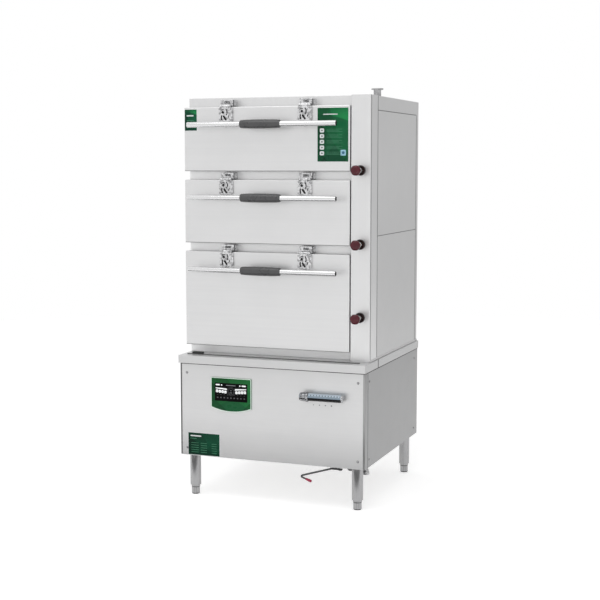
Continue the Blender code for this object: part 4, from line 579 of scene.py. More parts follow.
def greenFilm(name, middle, size, top, bottom, swoosh):
    # printed green film: a graded ground, crossing facets and one pale sweep, all from the plate's own place
    material, n, inputs, where = startMaterial(name)
    place = n.split(where)
    x = n.maths("DIVIDE", n.minus(place[0], middle[0]), size[0])
    z = n.maths("DIVIDE", n.minus(place[2], middle[1]), size[1])
    ground = n.mix(n.ramp(z, -0.5, 0.5), tint(bottom), tint(top))
    # darker towards the upper left corner and brighter to the right
    corner = n.minus(n.times(z, 0.8), x)
    ground = n.mix(n.ramp(corner, -0.25, 0.75, 0.0, 0.9), ground, tint(bottom, 0.20))
    bright = n.plus(n.times(z, 0.5), x)
    ground = n.mix(n.ramp(bright, 0.15, 0.8, 0.0, 0.6), ground, tint(top, 1.5))
    pale, deep = tint(top, 1.8), tint(bottom, 0.3)
    facets = ((0.9, 0.12, 0.35, pale), (-0.7, 0.22, 0.28, pale), (1.9, -0.30, 0.30, pale),
              (1.2, 0.72, 0.5, deep), (-1.4, 0.95, 0.5, deep))
    for slope, shift, strength, tone in facets:
        edge = n.plus(n.times(x, slope), n.plus(z, shift))
        if tone is deep:
            edge = n.times(edge, -1.0)
        facet = n.times(n.ramp(edge, -0.004, 0.004), strength)
        ground = n.mix(n.times(facet, n.ramp(edge, 0.0, 0.6, 1.0, 0.15)), ground, tone)
    if swoosh:
        bow = n.plus(z, n.times(n.maths("POWER", n.plus(x, 0.5), 2.0), 0.13))
        inside = n.times(n.ramp(bow, 0.372, 0.380), n.ramp(bow, 0.42, 0.56, 0.75, 0.25))
        inside = n.times(inside, n.ramp(x, -0.2, 0.35, 0.12, 1.0))
        ground = n.mix(inside, ground, (0.020, 0.30, 0.085, 1))
    speckle = n.group(mouldGrain, Vector=where, Fineness=1800.0)
    ground = n.mix(n.ramp(speckle["Shade"], 0.35, 0.7, 0.0, 0.18), ground, tint(bottom, 0.6))
    n.feed(inputs["Base Color"], ground)
    n.feed(inputs["Roughness"], n.ramp(speckle["Shade"], 0.3, 0.7, 0.24, 0.34))
    inputs["Specular IOR Level"].default_value = 0.15
    n.bump(inputs, speckle["Height"], 0.03, 0.0002)
    return material


def sliderGlass(middleZ, radius):
    # silver upper half with a fine scale, lighter towards its top as a painted sheen; black lower half
    material, n, inputs, where = startMaterial("sliderGlass")
    place = n.split(where)
    height = n.maths("DIVIDE", n.minus(place[2], middleZ), radius)
    upper = n.ramp(height, -0.05, 0.0)
    # painted sheen: the upper half lightens towards its top
    paintedSheen = n.mix(n.ramp(height, 0.0, 1.0), (0.24, 0.31, 0.38, 1), (0.50, 0.58, 0.65, 1))
    fine, coarse = (n.maths("FRACT", n.maths("DIVIDE", place[0], pitch)) for pitch in (0.004, 0.0138))
    tick = n.times(n.ramp(fine, 0.22, 0.30, 1.0, 0.0), n.ramp(height, 0.40, 0.48, 1.0, 0.0))
    bar = n.times(n.ramp(coarse, 0.42, 0.48, 1.0, 0.0), n.ramp(n.away(height, 0.62), 0.12, 0.16, 1.0, 0.0))
    lines = n.times(n.maths("MAXIMUM", tick, bar), n.ramp(height, 0.10, 0.16))
    scaled = n.mix(n.times(lines, 0.75), paintedSheen, (0.03, 0.04, 0.05, 1))
    lower = n.mix(n.ramp(n.noise(where, 60.0), 0.4, 0.7), (0.008, 0.008, 0.009, 1), (0.02, 0.02, 0.022, 1))
    n.feed(inputs["Base Color"], n.mix(upper, lower, scaled))
    n.feed(inputs["Roughness"], n.ramp(n.noise(where, 40.0), 0.3, 0.7, 0.12, 0.2))
    n.feed(inputs["Metallic"], n.times(upper, 0.2))
    inputs["Specular IOR Level"].default_value = 0.2
    return material


print("finishes built")


# Sheet metal that keeps its CAD shape, and the strips along it

levelsFront = {level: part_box("door_%s_skin" % level) for level in levels}
doorLow, doorHigh = levelsFront["top"]
doorLeft, doorFront, doorRight, doorTop = doorLow.x, doorLow.y, doorHigh.x, doorHigh.z
tray, post, face = (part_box(name) for name in ("worktop_tray", "duct_cover", "front_frame"))
frameFront = face[0].y
baseFront, panelRear = (corner.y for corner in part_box("base_front_panel"))
baseLow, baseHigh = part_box("base_wrap_panel")
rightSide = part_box("base_right_panel")[1].x
casingRear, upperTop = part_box("upper_casing")[1].yz
upperRight = post[1].x
rimTop = 0.664
seat = 0.0003
skirt = dict(rise=0.0012, edge=0.0005, proud=0.0012)
joint = dict(breadth=0.0055, height=0.0030, proud=0.0004, depth=0.0016)
shadeStrips = dict(half=0.0055, proud=0.0016, stripSetback=0.046, stripWidth=0.005, stripHeight=0.0036)

doorNodes = {part: ["door_%s_%s" % (level, part) for level in levels] for part in ("skin", "liner", "seal")}
wear(frontSteel, *doorNodes["skin"])
wear(baseFrontSteel, "base_front_panel")
wear(litFrameSteel, "front_frame")
wear(postSteel, "duct_cover")
wear(sideSteel, "upper_casing", "side_cover_lower", "side_cover_upper")
wear(shadedBaseSideSteel, "base_right_panel", "base_wrap_panel")
wear(worktopSteel, "worktop_tray")
wear(innerSteel, *["chamber_" + level for level in levels], *["rack_" + level for level in levels],
     *doorNodes["liner"])
wear(sealRubber, *doorNodes["seal"])
wear(rockWool(), "chamber_insulation")
wear(framePaint, "base_frame", "inverter_box")


def buildShadeStrips():
    # near-black strips of painted shade: in the slit beside the doors, under the worktop's rim as its painted
    # shadow, and on the tray as the shaded line behind the rim
    piece = Piece("cabinetShadeStrips")
    # painted shade: a near-black strip deep in the slit beside each door
    for low, high in levelsFront.values():
        piece.block((doorRight + 0.0006, doorFront + 0.014, low.z),
                    (post[0].x - seat, doorFront + 0.019, high.z), 0.0008, blackAndPaintedShade)
    # painted shadow: a near-black bead along the base under the worktop's rim
    under, over = tray[0].z - shadeStrips["half"], tray[0].z + shadeStrips["half"]
    piece.block((baseLow.x + 0.002, baseFront - 0.0022, under), (rightSide - 0.002, baseFront - seat, over),
                0.001, shadeStripBlack)
    for way in (-1, 1):
        piece.flank(way, rightSide + seat, rightSide + shadeStrips["proud"], (baseFront + 0.002, under),
                    (baseHigh.y - 0.002, over), 0.0006, shadeStripBlack)
    # painted shade: a near-black strip on the tray, a little behind the rim
    stripY, stripTop = tray[0].y + shadeStrips["stripSetback"], rimTop + shadeStrips["stripHeight"]
    piece.block((tray[0].x + 0.024, stripY, rimTop + seat),
                (tray[1].x - 0.040, stripY + shadeStrips["stripWidth"], stripTop), 0.0012, shadeStripBlack)
    piece.done("root", "seal_rubber")


def buildSkirts():
    # strips over the worktop, a black block at the worktop's front left, the fascia over the doors, and
    # sheets of painted-shade side steel over the base front's returns
    low, high, edge = rimTop + seat, post[0].z + skirt["rise"], skirt["edge"]
    piece = Piece("casingSkirts")
    piece.block((face[0].x + 0.002, frameFront - 0.0012, low), (post[0].x - 0.001, frameFront + 0.003, high),
                edge, litFrameSteel, 1)
    piece.block((post[0].x + 0.0005, doorFront + 0.002, low), (upperRight - 0.001, doorFront + 0.006, high),
                edge, postSteel, 1)
    for way, x, front in ((1, upperRight, doorFront + 0.002), (-1, -face[0].x, frameFront)):
        piece.flank(way, x - 0.004, min(x + skirt["proud"], tray[1].x - 0.0006), (front, low),
                    (casingRear - 0.001, high), edge, sideSteel, 1)
    left, front = tray[0].x, tray[0].y
    piece.block((left + 0.046, front + 0.050, low), (left + 0.100, front + 0.072, low + 0.0105), 0.003,
                blackAndPaintedShade, 3)
    piece.block((face[0].x + 0.0015, frameFront - 0.0010, doorTop + 0.0006),
                (post[0].x - 0.001, frameFront + 0.001, face[1].z - 0.001), 0.0004, postSteel, 1)
    # sheets over the base front's side returns, in the darker painted-shade side steel
    for way, breadth in ((-1, 0.0030), (1, 0.0095)):
        piece.flank(way, rightSide - breadth, rightSide + 0.0004, (baseFront - 0.0004, baseLow.z + 0.0006),
                    (panelRear, tray[0].z - seat), 0.0008, shadedBaseSideSteel)
    piece.done("root", "side_steel")


def buildJoints():
    # dark joints round the side covers and between the base panels
    lower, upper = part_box("side_cover_lower"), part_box("side_cover_upper")
    wide, proud = joint["breadth"], joint["proud"]
    near, far = upperRight - joint["depth"], upperRight + proud
    piece = Piece("panelJoints")

    def strip(low, high):
        piece.block(low, high, 0.0002, jointAndShadeGrey, 1)

    for y in (post[0].y + 0.0065, post[1].y - 0.0002, lower[1].y - 0.001):
        strip((near, y, post[0].z + 0.002), (far, y + wide, (post if y < 0 else upper)[1].z - 0.002))
    for z in (lower[1].z - 0.0008, upper[1].z - 0.0004):
        strip((near, lower[0].y + wide, z), (far, lower[1].y, z + joint["height"]))
    low, high = baseLow.z + 0.003, baseHigh.z - 0.040
    for way in (-1, 1):
        piece.flank(way, rightSide - 0.001, rightSide + proud, (panelRear - 0.0005, low),
                    (panelRear + wide, high), 0.0002, jointAndShadeGrey, 1)
    strip((baseLow.x + 0.0008, baseFront - proud, low), (baseLow.x + 0.0048, baseFront + 0.001, high))
    piece.done("root", "seal_rubber")


def buildHemShades():
    for level, (low, high) in levelsFront.items():
        piece = Piece("doorHemShade_" + level)
        # a dark strip along each door's bottom edge: painted shade of the bottom fold
        piece.block((low.x + 0.001, doorFront - 0.0006, low.z + seat),
                    (high.x - 0.001, doorFront + 0.003, low.z + 0.0026), 0.0005, hemShadeGrey)
        piece.done("door_" + level, "seal_rubber")


buildShadeStrips()
buildSkirts()
buildJoints()
buildHemShades()
wear(tankSteel, "water_tank")
wear(coilCopper, "induction_coil")
wear(blackPlastic, "fan_rotor")
wear(neckBrass, "float_valve")
wear(floatPlastic, "float_arm")
print("sheet metal dressed")


# Hinges: a fixed casting with its pin and spring, and the leaf that carries the handle

hinge = dict(spacing=0.383, axisFront=0.0075, axisRise=0.004, pinRadius=0.003, knuckleRadius=0.006,
             knuckleLength=0.030, earWidth=0.012, setback=0.012, width=0.065, height=0.031, rise=0.002,
             turns=4, pitch=0.005, wire=0.0008, coil=0.0038, windowDepth=0.0105, springHeight=0.6,
             spindle=0.0024)
leaf = dict(width=0.068, height=0.064, thickness=0.009, drop=0.002, round=0.007, screwInset=0.0075)
handle = dict(radius=0.0125, wall=0.002, standoff=0.060, drop=0.080, post=0.008, foot=0.012,
              footThickness=0.004)
grip = dict(length=0.192, end=0.0175, swell=0.003, chamfer=0.0025, steps=40, groove=0.0007)
hingeMiddle = (doorLeft + doorRight) / 2
hingePlaces = dict(left=hingeMiddle - hinge["spacing"] / 2, right=hingeMiddle + hinge["spacing"] / 2)
hingeY = doorFront - hinge["axisFront"]
barY = doorFront - handle["standoff"]


def springLine(centre):
    half, coil, perTurn = hinge["turns"] * hinge["pitch"] / 2, hinge["coil"], 20
    line = []
    for step in range(hinge["turns"] * perTurn + 1):
        a = math.tau * step / perTurn
        along = hinge["pitch"] * step / perTurn - half
        line.append(centre + Vector((along, coil * math.cos(a), coil * math.sin(a))))
    ends = half + hinge["pitch"] / 2
    return [Vector((centre.x - ends, *line[0].yz))] + line + [Vector((centre.x + ends, *line[-1].yz))]


def buildBracket(level, side, x):
    piece = Piece("hingeCasting_%s_%s" % (level, side))
    top = levelsFront[level][1].z
    axisZ, low, near = top + hinge["axisRise"], top + hinge["rise"], doorFront + hinge["setback"]
    width, height, deep = hinge["width"], hinge["height"], hinge["windowDepth"]
    springZ, middle = low + height * hinge["springHeight"], low + height / 2
    half = (hinge["turns"] + 1) * hinge["pitch"] / 2 + 2 * hinge["wire"]
    slotHalf = hinge["coil"] + hinge["wire"] + 2 * seat
    window = roundedRect(2 * half, 2 * slotHalf, 0.0012, (0, springZ - middle), 3)
    piece.plate([roundedRect(width, height, 0.004), window], deep, (x, near + deep, middle), castChrome,
                0.0009)
    piece.block((x - width / 2, near + deep - 0.0004, low), (x + width / 2, frameFront - seat, low + height),
                0.0012, castChrome)
    edge = x + width / 2
    # a dim grey strip at the casting's right edge: painted shade of its side
    piece.block((edge - 0.0030, near - 0.0006, low + 0.0015),
                (edge + 0.0003, near + 0.0040, low + height - 0.0015), 0.0004, dimGrey, 1)
    r, length, bore = hinge["knuckleRadius"], hinge["earWidth"], hinge["pinRadius"]
    inner = hinge["knuckleLength"] / 2 + 2 * seat
    for way in (-1, 1):
        start = x + way * inner - (length if way < 0 else 0)
        piece.turned([(bore, 0), *rim(r, 0, length), (bore, length)], (start, hingeY, axisZ), toRight, 32,
                     castChrome)
        piece.block((start + seat, hingeY, top + 0.003),
                    (start + length - seat, near + 0.002, axisZ + r * 0.95), 0.0008, castChrome)
        cap = [(0.0, 0.0016), (0.0028, 0.0012), (0.0042, 0.0)]
        piece.turned(cap, (x + way * (inner + length), hingeY, axisZ), (way, 0, 0), 20, brightChrome)
        piece.screw((x + way * (width / 2 - 0.007), near, middle), toFront, 0.0036, 0.0018)
    pinHalf = inner + length / 2
    piece.turned(pin(bore, 2 * pinHalf), (x - pinHalf, hingeY, axisZ), toRight, 20, brightChrome)
    centre = Vector((x, near + deep / 2, springZ))
    piece.turned(pin(hinge["spindle"], 2 * half), centre - Vector((half, 0, 0)), toRight, 16, castChrome)
    piece.rod(springLine(centre), hinge["wire"], 10, springSteel)
    piece.done("root", "hinge_chrome", "hinge_bracket_%s_%s" % (level, side))


def addLeaf(piece, level, x):
    # the slotted leaf on the door's front, with its knuckle round the pin
    top = levelsFront[level][1].z
    rear, high, axisZ = doorFront - seat, top - leaf["drop"], top + hinge["axisRise"]
    width, height, deep = leaf["width"], leaf["height"], leaf["thickness"]
    middle = high - height / 2
    eye = (-width * 0.19, height * 0.15)
    openings = [circlePoints(0.0060, eye, 28),
                slotPoints(0.026, 0.0085, (-0.0035, -height * 0.25), -55),
                curvedSlot((0.0060, -height * 0.20), 0.0265, 166, 205, 0.0058),
                curvedSlot(eye, 0.0205, -34, 40, 0.0042),
                curvedSlot(eye, 0.0118, 62, 150, 0.0026),
                slotPoints(0.015, 0.0034, (width * 0.22, -height * 0.14), 68)]
    outline = roundedRect(width, height, leaf["round"])
    behind = roundedRect(width - 0.010, height - 0.010, 0.004)
    piece.plate([outline] + openings, deep - 0.001, (x, rear, middle), castChrome, 0.0009)
    # a black sheet behind the leaf fills its slots with painted shade
    piece.plate([behind], 0.0006, (x, rear, middle), blackAndPaintedShade)
    rib = [circlePoints(radius, eye, 32) for radius in (0.0098, 0.0072)]
    piece.plate(rib, 0.0012, (x, rear - deep + 0.0011, middle), castChrome, 0.0004)
    for across, up in fourCorners(width / 2 - leaf["screwInset"], height / 2 - leaf["screwInset"]):
        piece.screw((x + across, rear - deep + 0.001, middle + up), toFront, 0.0044, 0.0022)
    r, length, bore = hinge["knuckleRadius"], hinge["knuckleLength"], hinge["pinRadius"] + seat
    knuckle = [(bore, 0), *rim(r, 0, length), (bore, length), (bore, 0)]
    piece.turned(knuckle, (x - length / 2, hingeY, axisZ), toRight, 32, castChrome)
    half = length / 2 - seat
    piece.block((x - half, hingeY - r * 0.75, high - r), (x + half, hingeY + r * 0.75, axisZ - bore), 0.0008,
                castChrome)


def buildHandle(level):
    piece = Piece("doorHandle_" + level)
    low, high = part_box("door_%s_handle" % level)
    top = levelsFront[level][1].z
    barZ = top - handle["drop"]
    r, length, p, thick = handle["radius"], high.x - low.x, handle["post"], handle["footThickness"]
    inside, rear = r - handle["wall"], doorFront - seat
    tube = [(inside, 0), *rim(r, 0, length), (inside, length), (inside, 0)]
    piece.turned(tube, (low.x, barY, barZ), toRight, 48, barSteel)
    for x in hingePlaces.values():
        piece.turned([(p, thick), (p, handle["standoff"] - inside - seat)], (x, rear, barZ), toFront, 32,
                     castChrome)
        collar = [(p, 0), *rim(handle["foot"], 0, thick, 0.001), (p, thick)]
        piece.turned(collar, (x, rear, barZ), toFront, 32, castChrome)
        saddle = [(p + 0.002, 0.0), (p + 0.0006, 0.003), (p, 0.006)]
        piece.turned(saddle, (x, barY + r - 0.001, barZ), toRear, 32, castChrome)
        addLeaf(piece, level, x)
        tongueTop = top - leaf["drop"] - leaf["height"] + 0.002
        piece.block((x - 0.0065, doorFront - thick, barZ), (x + 0.0065, doorFront - 2 * seat, tongueTop),
                    0.0005, castChrome)
    piece.done("door_" + level, "front_steel", "door_%s_handle" % level)


def buildGrip(level):
    length, bore, chamfer, steps = grip["length"], handle["radius"] + seat, grip["chamfer"], grip["steps"]
    outer = []
    for step in range(steps + 1):
        t = step / steps
        ending = min(t, 1 - t) * length
        swell = grip["swell"] * math.sqrt(math.sin(math.pi * t))
        outer.append([grip["end"] + swell - max(0.0, chamfer - ending) * 0.8, length * t])
    for share in (0.055, 0.945):
        min(outer, key=lambda point: abs(point[1] - share * length))[0] -= grip["groove"]
    piece = Piece("doorGrip_" + level)
    place = (hingeMiddle - length / 2, barY, levelsFront[level][1].z - handle["drop"])
    piece.turned([(bore, 0.0)] + outer + [(bore, length), (bore, 0.0)], place, toRight, 64, gripPlastic)
    piece.done("door_" + level, "grip_plastic", "door_%s_grip" % level, angle=40)


for level in levels:
    for side, x in hingePlaces.items():
        buildBracket(level, side, x)
    buildHandle(level)
    buildGrip(level)
print("hinges and handles built")


# Steam valves, riser and vent

valve = dict(bonnet=0.009, reach=0.048, nut=0.0230, nutThickness=0.013, setback=0.105, body=0.016,
             branch=0.010, elbow=0.015, inletInset=0.037, inletRise=0.058, hexHeight=0.009, gland=0.010,
             packing=0.033)
riser = dict(radius=0.017, bore=0.014, flange=0.0275, flangeThickness=0.006, sideInset=0.051, setback=0.255)
knob = dict(radius=0.0232, thickness=0.022, reach=0.085, hub=0.013, hubLength=0.008, stem=0.005,
            stemLength=0.020, lobes=6, depth=0.0009)
knobPlaces = {level: middleOf("knob_" + level, 0, 2) for level in levels}
riserLow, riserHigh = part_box("steam_riser")
riserX, riserY = upperRight - riser["sideInset"], doorFront + riser["setback"]
valveY = doorFront + valve["setback"]


def buildRiser():
    top, bottom = riserHigh.z, riserLow.z
    r, bore, flange = riser["radius"], riser["bore"], riser["flange"]
    under = top - riser["flangeThickness"]
    profile = [(0.0, upperTop), (bore, upperTop), (bore, top - 0.001), (bore + 0.001, top),
               *rim(flange, top, under, 0.0012), (r + 0.002, under), (r + 0.0005, under - 0.002),
               (r, under - 0.003), (r, bottom), (0.0, bottom)]
    piece = Piece("steamRiser")
    piece.turned(profile, (riserX, riserY, 0), toTop, 48, pipeSteel)
    weld = [(r, upperTop + seat), (r + 0.003, upperTop + seat), (r + 0.0022, upperTop + 0.002),
            (r, upperTop + 0.004)]
    piece.turned(weld, (riserX, riserY, 0), toTop, 40, castChrome)
    for level, (x, z) in knobPlaces.items():
        inletX, inletZ = doorRight - valve["inletInset"], levelsFront[level][0].z + valve["inletRise"]
        piece.rod([(riserX, riserY, z), (x, valveY, z)], valve["branch"], 24, pipeSteel)
        corner = bentLine([(x, valveY, z), (x, valveY, inletZ), (inletX, valveY, inletZ)], valve["elbow"])
        piece.rod(corner, valve["branch"], 24, pipeSteel)
    piece.done("root", "inner_steel", "steam_riser")


def buildBonnet(level):
    x, z = knobPlaces[level]
    b, v, n, deep = valve["bonnet"], valve["body"], valve["nut"], valve["nutThickness"]
    stem = knob["stem"] + seat
    piece = Piece("bonnet_" + level)
    body = [(0, -v), (v * 0.8, -v), (v, -v * 0.7), (v, v * 0.7), (v * 0.8, v), (0, v)]
    piece.turned(body, (x, valveY, z), toTop, 32, neckBrass)
    neck = [(0.0, -valve["setback"]), (b - 0.001, -valve["setback"]), (b - 0.001, 0.014),
            (b - 0.0012, 0.0205), (b - 0.002, 0.021), (b - 0.002, 0.024), (b - 0.0003, 0.0245), (b, 0.0255),
            (b, 0.0465), (b - 0.0012, valve["reach"]), (stem, valve["reach"]), (stem, 0.040), (0, 0.040)]
    piece.turned(neck, (x, doorFront, z), toFront, 40, neckBrass)
    cup = [(0, 0), (n - 0.0008, 0), (n, 0.0008), (n, deep - 0.003), (n - 0.0008, deep - 0.001),
           (n - 0.0022, deep), (n - 0.0042, deep - 0.0006), (n - 0.0056, deep - 0.003),
           (n - 0.0066, deep - 0.0045), (b - 0.001, deep - 0.0045)]
    piece.turned(cup, (x, doorFront - seat, z), toFront, 48, collarPlastic)
    for radius, out, finish in ((b * 1.25, valve["gland"], brightChrome), (b, valve["packing"], neckBrass)):
        piece.nut(radius, valve["hexHeight"], (x, doorFront - out, z), toFront, finish, b - 0.0015)
    piece.done("root", "valve_brass", "steam_riser")


def buildKnob(level):
    x, z = knobPlaces[level]
    r, hub, front = knob["radius"], knob["hub"], knob["reach"]
    rear = front - knob["thickness"]
    hubRear = rear - knob["hubLength"]
    crown = ((0.0, 0.0), (0.20, 0.0001), (0.40, 0.0006), (0.60, 0.0016), (0.78, 0.0032), (0.90, 0.0056),
             (0.97, 0.0085), (1.0, 0.0120))
    back = ((1.0, 0.0065), (0.96, 0.0030), (0.86, 0.0006), (0.74, 0.0))
    profile = [(r * share, front - drop) for share, drop in crown]
    profile += [(r * share, rear + rise) for share, rise in back]
    profile += [(hub, rear), (hub * 0.86, rear - 0.003), (hub * 0.6, hubRear), (0.0, hubRear)]
    mesh = turnedMesh(profile, (x, doorFront, z), toFront, 96)

    def lobe(angle, away, point):
        wave = (1 - math.cos(knob["lobes"] * angle)) / 2
        return knob["depth"] * wave * min(1.0, (away - hub) / (r - hub) * 1.2)

    carve(mesh, (0, 2), (x, z), hub + seat, lobe)
    piece = Piece("knobWheel_" + level)
    piece.take(mesh, knobPlastic)
    piece.turned(pin(knob["stem"], knob["stemLength"]), (x, doorFront - hubRear + knob["stemLength"], z),
                 toFront, 24, neckBrass)
    piece.done("knob_" + level, "knob_plastic", "knob_" + level)


buildRiser()
for level in levels:
    buildBonnet(level)
    buildKnob(level)
print("steam valves built")


# The control plate: its film, a pale border, black glass and plain keys

panel = dict(side=0.140, arch=0.019, corner=0.006, border=0.0036, rim=0.0009, glass=0.0010, ink=0.0002,
             layer=0.0003)
display = dict(left=0.0200, right=0.1820, top=0.0255, bottom=0.1090)
panelLow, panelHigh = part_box("control_panel")
panelX, panelTop, panelFront = (panelLow.x + panelHigh.x) / 2, panelHigh.z, panelLow.y
panelHalf = (panelHigh.x - panelLow.x) / 2
wear(greenFilm("panelFilm", (panelX, panelTop - panel["side"] / 2), (2 * panelHalf, panel["side"]),
               (0.010, 0.112, 0.026), (0.008, 0.100, 0.034), False), "control_panel")


def plateOutline(inset):
    # the plate's edge, drawn in by inset: two round corners above, one wide arch below
    corner, arch = max(panel["corner"] - inset, 0.001), panel["arch"]
    bow = (panelHalf ** 2 + arch ** 2) / (2 * arch)
    reach = math.degrees(math.asin((panelHalf - inset) / (bow - inset)))
    across, up = panelHalf - inset - corner, panelTop - inset - corner
    points = arc((panelX + across, up), corner, 0, 90, 6) + arc((panelX - across, up), corner, 90, 180, 6)
    return points + arc((panelX, panelTop - panel["side"] - arch + bow), bow - inset, -90 - reach,
                        -90 + reach, 40)


def onDisplay(across, down):
    # fractions of the black glass to the place on the plate
    x = panelX - panelHalf + display["left"] + (display["right"] - display["left"]) * across
    return x, panelTop - display["top"] - (display["bottom"] - display["top"]) * down


def buildPanelFace():
    piece = Piece("panelDisplay")
    piece.plate([plateOutline(0.0004), plateOutline(panel["border"])], panel["rim"], (0, panelFront, 0),
                paleBorder)
    width, height = display["right"] - display["left"], display["bottom"] - display["top"]
    piece.plate([roundedRect(width, height, 0.003, onDisplay(0.5, 0.5))], panel["glass"], (0, panelFront, 0),
                displayGlass(), 0.0002)

    def ink(outlines, finish, layer=0.0):
        piece.plate(outlines, panel["ink"], (0, panelFront - panel["glass"] - layer, 0), finish)

    def key(across, down, wide, tall, finish, round=0.45, layer=0.0):
        w, h = wide * width, tall * height
        ink([roundedRect(w, h, min(w, h) * round, onDisplay(across, down), 4)], finish, layer)

    for across in (0.095, 0.895):
        key(across, 0.105, 0.13, 0.078, litWhite, 0.49)
    for across in (0.215, 0.775):
        ink([circlePoints(0.0034, onDisplay(across, 0.110))], litWhite)
    key(0.495, 0.115, 0.30, 0.040, markGrey, 0.49)
    for side in (-1, 1):
        inner, outer = 0.5 + side * 0.130, 0.5 + side * 0.470
        wing = ((outer, 0.262), (inner, 0.292), (inner - side * 0.012, 0.375), (outer, 0.315))
        ink([[onDisplay(*spot) for spot in wing]], litWhite)
        for index in range(4):
            across, down = 0.5 + side * (0.172 + 0.085 * index), 0.490 - 0.012 * index
            key(across, down, 0.074, 0.155, litWhite, 0.30)
            key(across, down + 0.010, 0.022, 0.045, markGrey, 0.45, panel["ink"])
    centre = onDisplay(0.5, 0.45)
    for radius, breadth, tone in ((0.0205, 0.0009, dimGrey), (0.0150, 0.0007, markGrey)):
        ink([circlePoints(r, centre, 48) for r in (radius, radius - breadth)], tone)
    for x, z in arc(centre, 0.0178, 220, -40, 8):
        ink([circlePoints(0.0008, (x, z), 8)], dimGrey)
    for down, wide in ((0.40, 0.040), (0.52, 0.075)):
        key(0.5, down, wide, 0.032, markGrey)
    for index in range(9):
        across = 0.09 + 0.82 * index / 8
        key(across, 0.81, 0.050, 0.075, dimGrey)
        key(across, 0.645, 0.030, 0.022, dimGrey)
    piece.done("root", "control_panel")


buildPanelFace()


# Printed film plates: plain bars and squares, no words

def filmPlate(name, body, low, high, front, top, bottom, swoosh, marks):
    # each mark: across, down, width and height as shares of the plate, roundness, layer, finish
    width, height = high[0] - low[0], high[1] - low[1]
    middle = ((low[0] + high[0]) / 2, (low[1] + high[1]) / 2)
    piece = Piece(name)

    def sheet(outline, layer, thickness, finish):
        piece.plate([outline], thickness, (0, front - layer * panel["layer"], 0), finish)

    sheet(roundedRect(width, height, 0.002, middle), 0, 0.0004, markWhite)
    film = greenFilm(name + "Film", middle, (width, height), top, bottom, swoosh)
    sheet(roundedRect(width - 0.0036, height - 0.0036, 0.0015, middle), 1, panel["layer"], film)
    for across, down, wide, tall, round, layer, finish in marks:
        w, h = width * wide, height * tall
        centre = (low[0] + width * across, high[1] - height * down)
        sheet(roundedRect(w, h, min(w, h) * round, centre, 4), 2 + layer, panel["ink"], finish)
    piece.done(body, "control_panel")


menuMarks = [(0.42, 0.125, 0.46, 0.018, 0.49, 0, keyWhite)]
dataMarks = [(0.25, 0.15, 0.34, 0.055, 0.49, 0, keyWhite), (0.17, 0.27, 0.20, 0.022, 0.49, 0, mintPrint)]
spareMarks = [(0.45, 0.30, 0.55, 0.06, 0.45, 0, keyWhite), (0.45, 0.52, 0.55, 0.02, 0.49, 0, mintPrint),
              (0.38, 0.62, 0.40, 0.02, 0.49, 0, mintPrint)]
for index in range(5):
    down = 0.42 + 0.105 * index
    menuMarks += [(0.155, down, 0.135, 0.076, 0.25, 0, keyWhite),
                  (0.155, down, 0.045, 0.028, 0.49, 1, blackAndPaintedShade)]
    for line in range(3):
        odd = line % 2
        menuMarks.append((0.55 - 0.05 * odd, down + 0.022 * (line - 1), 0.50 - 0.10 * odd, 0.005, 0.49, 0,
                          mintPrint))
    down = 0.46 + 0.10 * index
    for across, wide in ((0.22, 0.24), (0.50, 0.20), (0.82, 0.16)):
        dataMarks.append((across, down, wide, 0.018, 0.49, 0, mintPrint))
menuMarks += [(0.83, 0.83, 0.17, 0.105, 0.15, 0, skyPlate), (0.83, 0.83, 0.09, 0.055, 0.49, 1, tealPrint)]

doorEdge = doorLeft + 0.0012
filmPlate("menuPlate", "door_top", (doorRight - 0.154, 1.5515), (doorRight - 0.0065, 1.7905), doorFront,
          (0.007, 0.100, 0.036), (0.004, 0.060, 0.027), True, menuMarks)
filmPlate("sparePlate", "door_top", (doorEdge, 1.6935), (doorEdge + 0.064, 1.7925), doorFront,
          (0.005, 0.075, 0.034), (0.003, 0.045, 0.024), True, spareMarks)
filmPlate("dataPlate", "root", (-0.4145, baseLow.z + 0.0012), (-0.2525, baseLow.z + 0.1085), baseFront,
          (0.002, 0.052, 0.024), (0.002, 0.036, 0.019), False, dataMarks)
print("panel and plates built")


# The heat slider and its ring

slider = dict(lead=0.005, radius=0.017, cap=0.0150, capLength=0.0065, tail=0.0045, post=0.004, ring=0.0222,
              waist=0.0196, grips=32, gripDepth=0.0004)
stepDots = dict(count=4, start=0.208, pitch=0.0283, radius=0.0022, growth=0.0004, drop=0.040)
tubeLow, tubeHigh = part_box("power_slider_tube")
ringLow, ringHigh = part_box("power_slider_ring")
sliderY, sliderZ = (ringLow.y + ringHigh.y) / 2, (ringLow.z + ringHigh.z) / 2


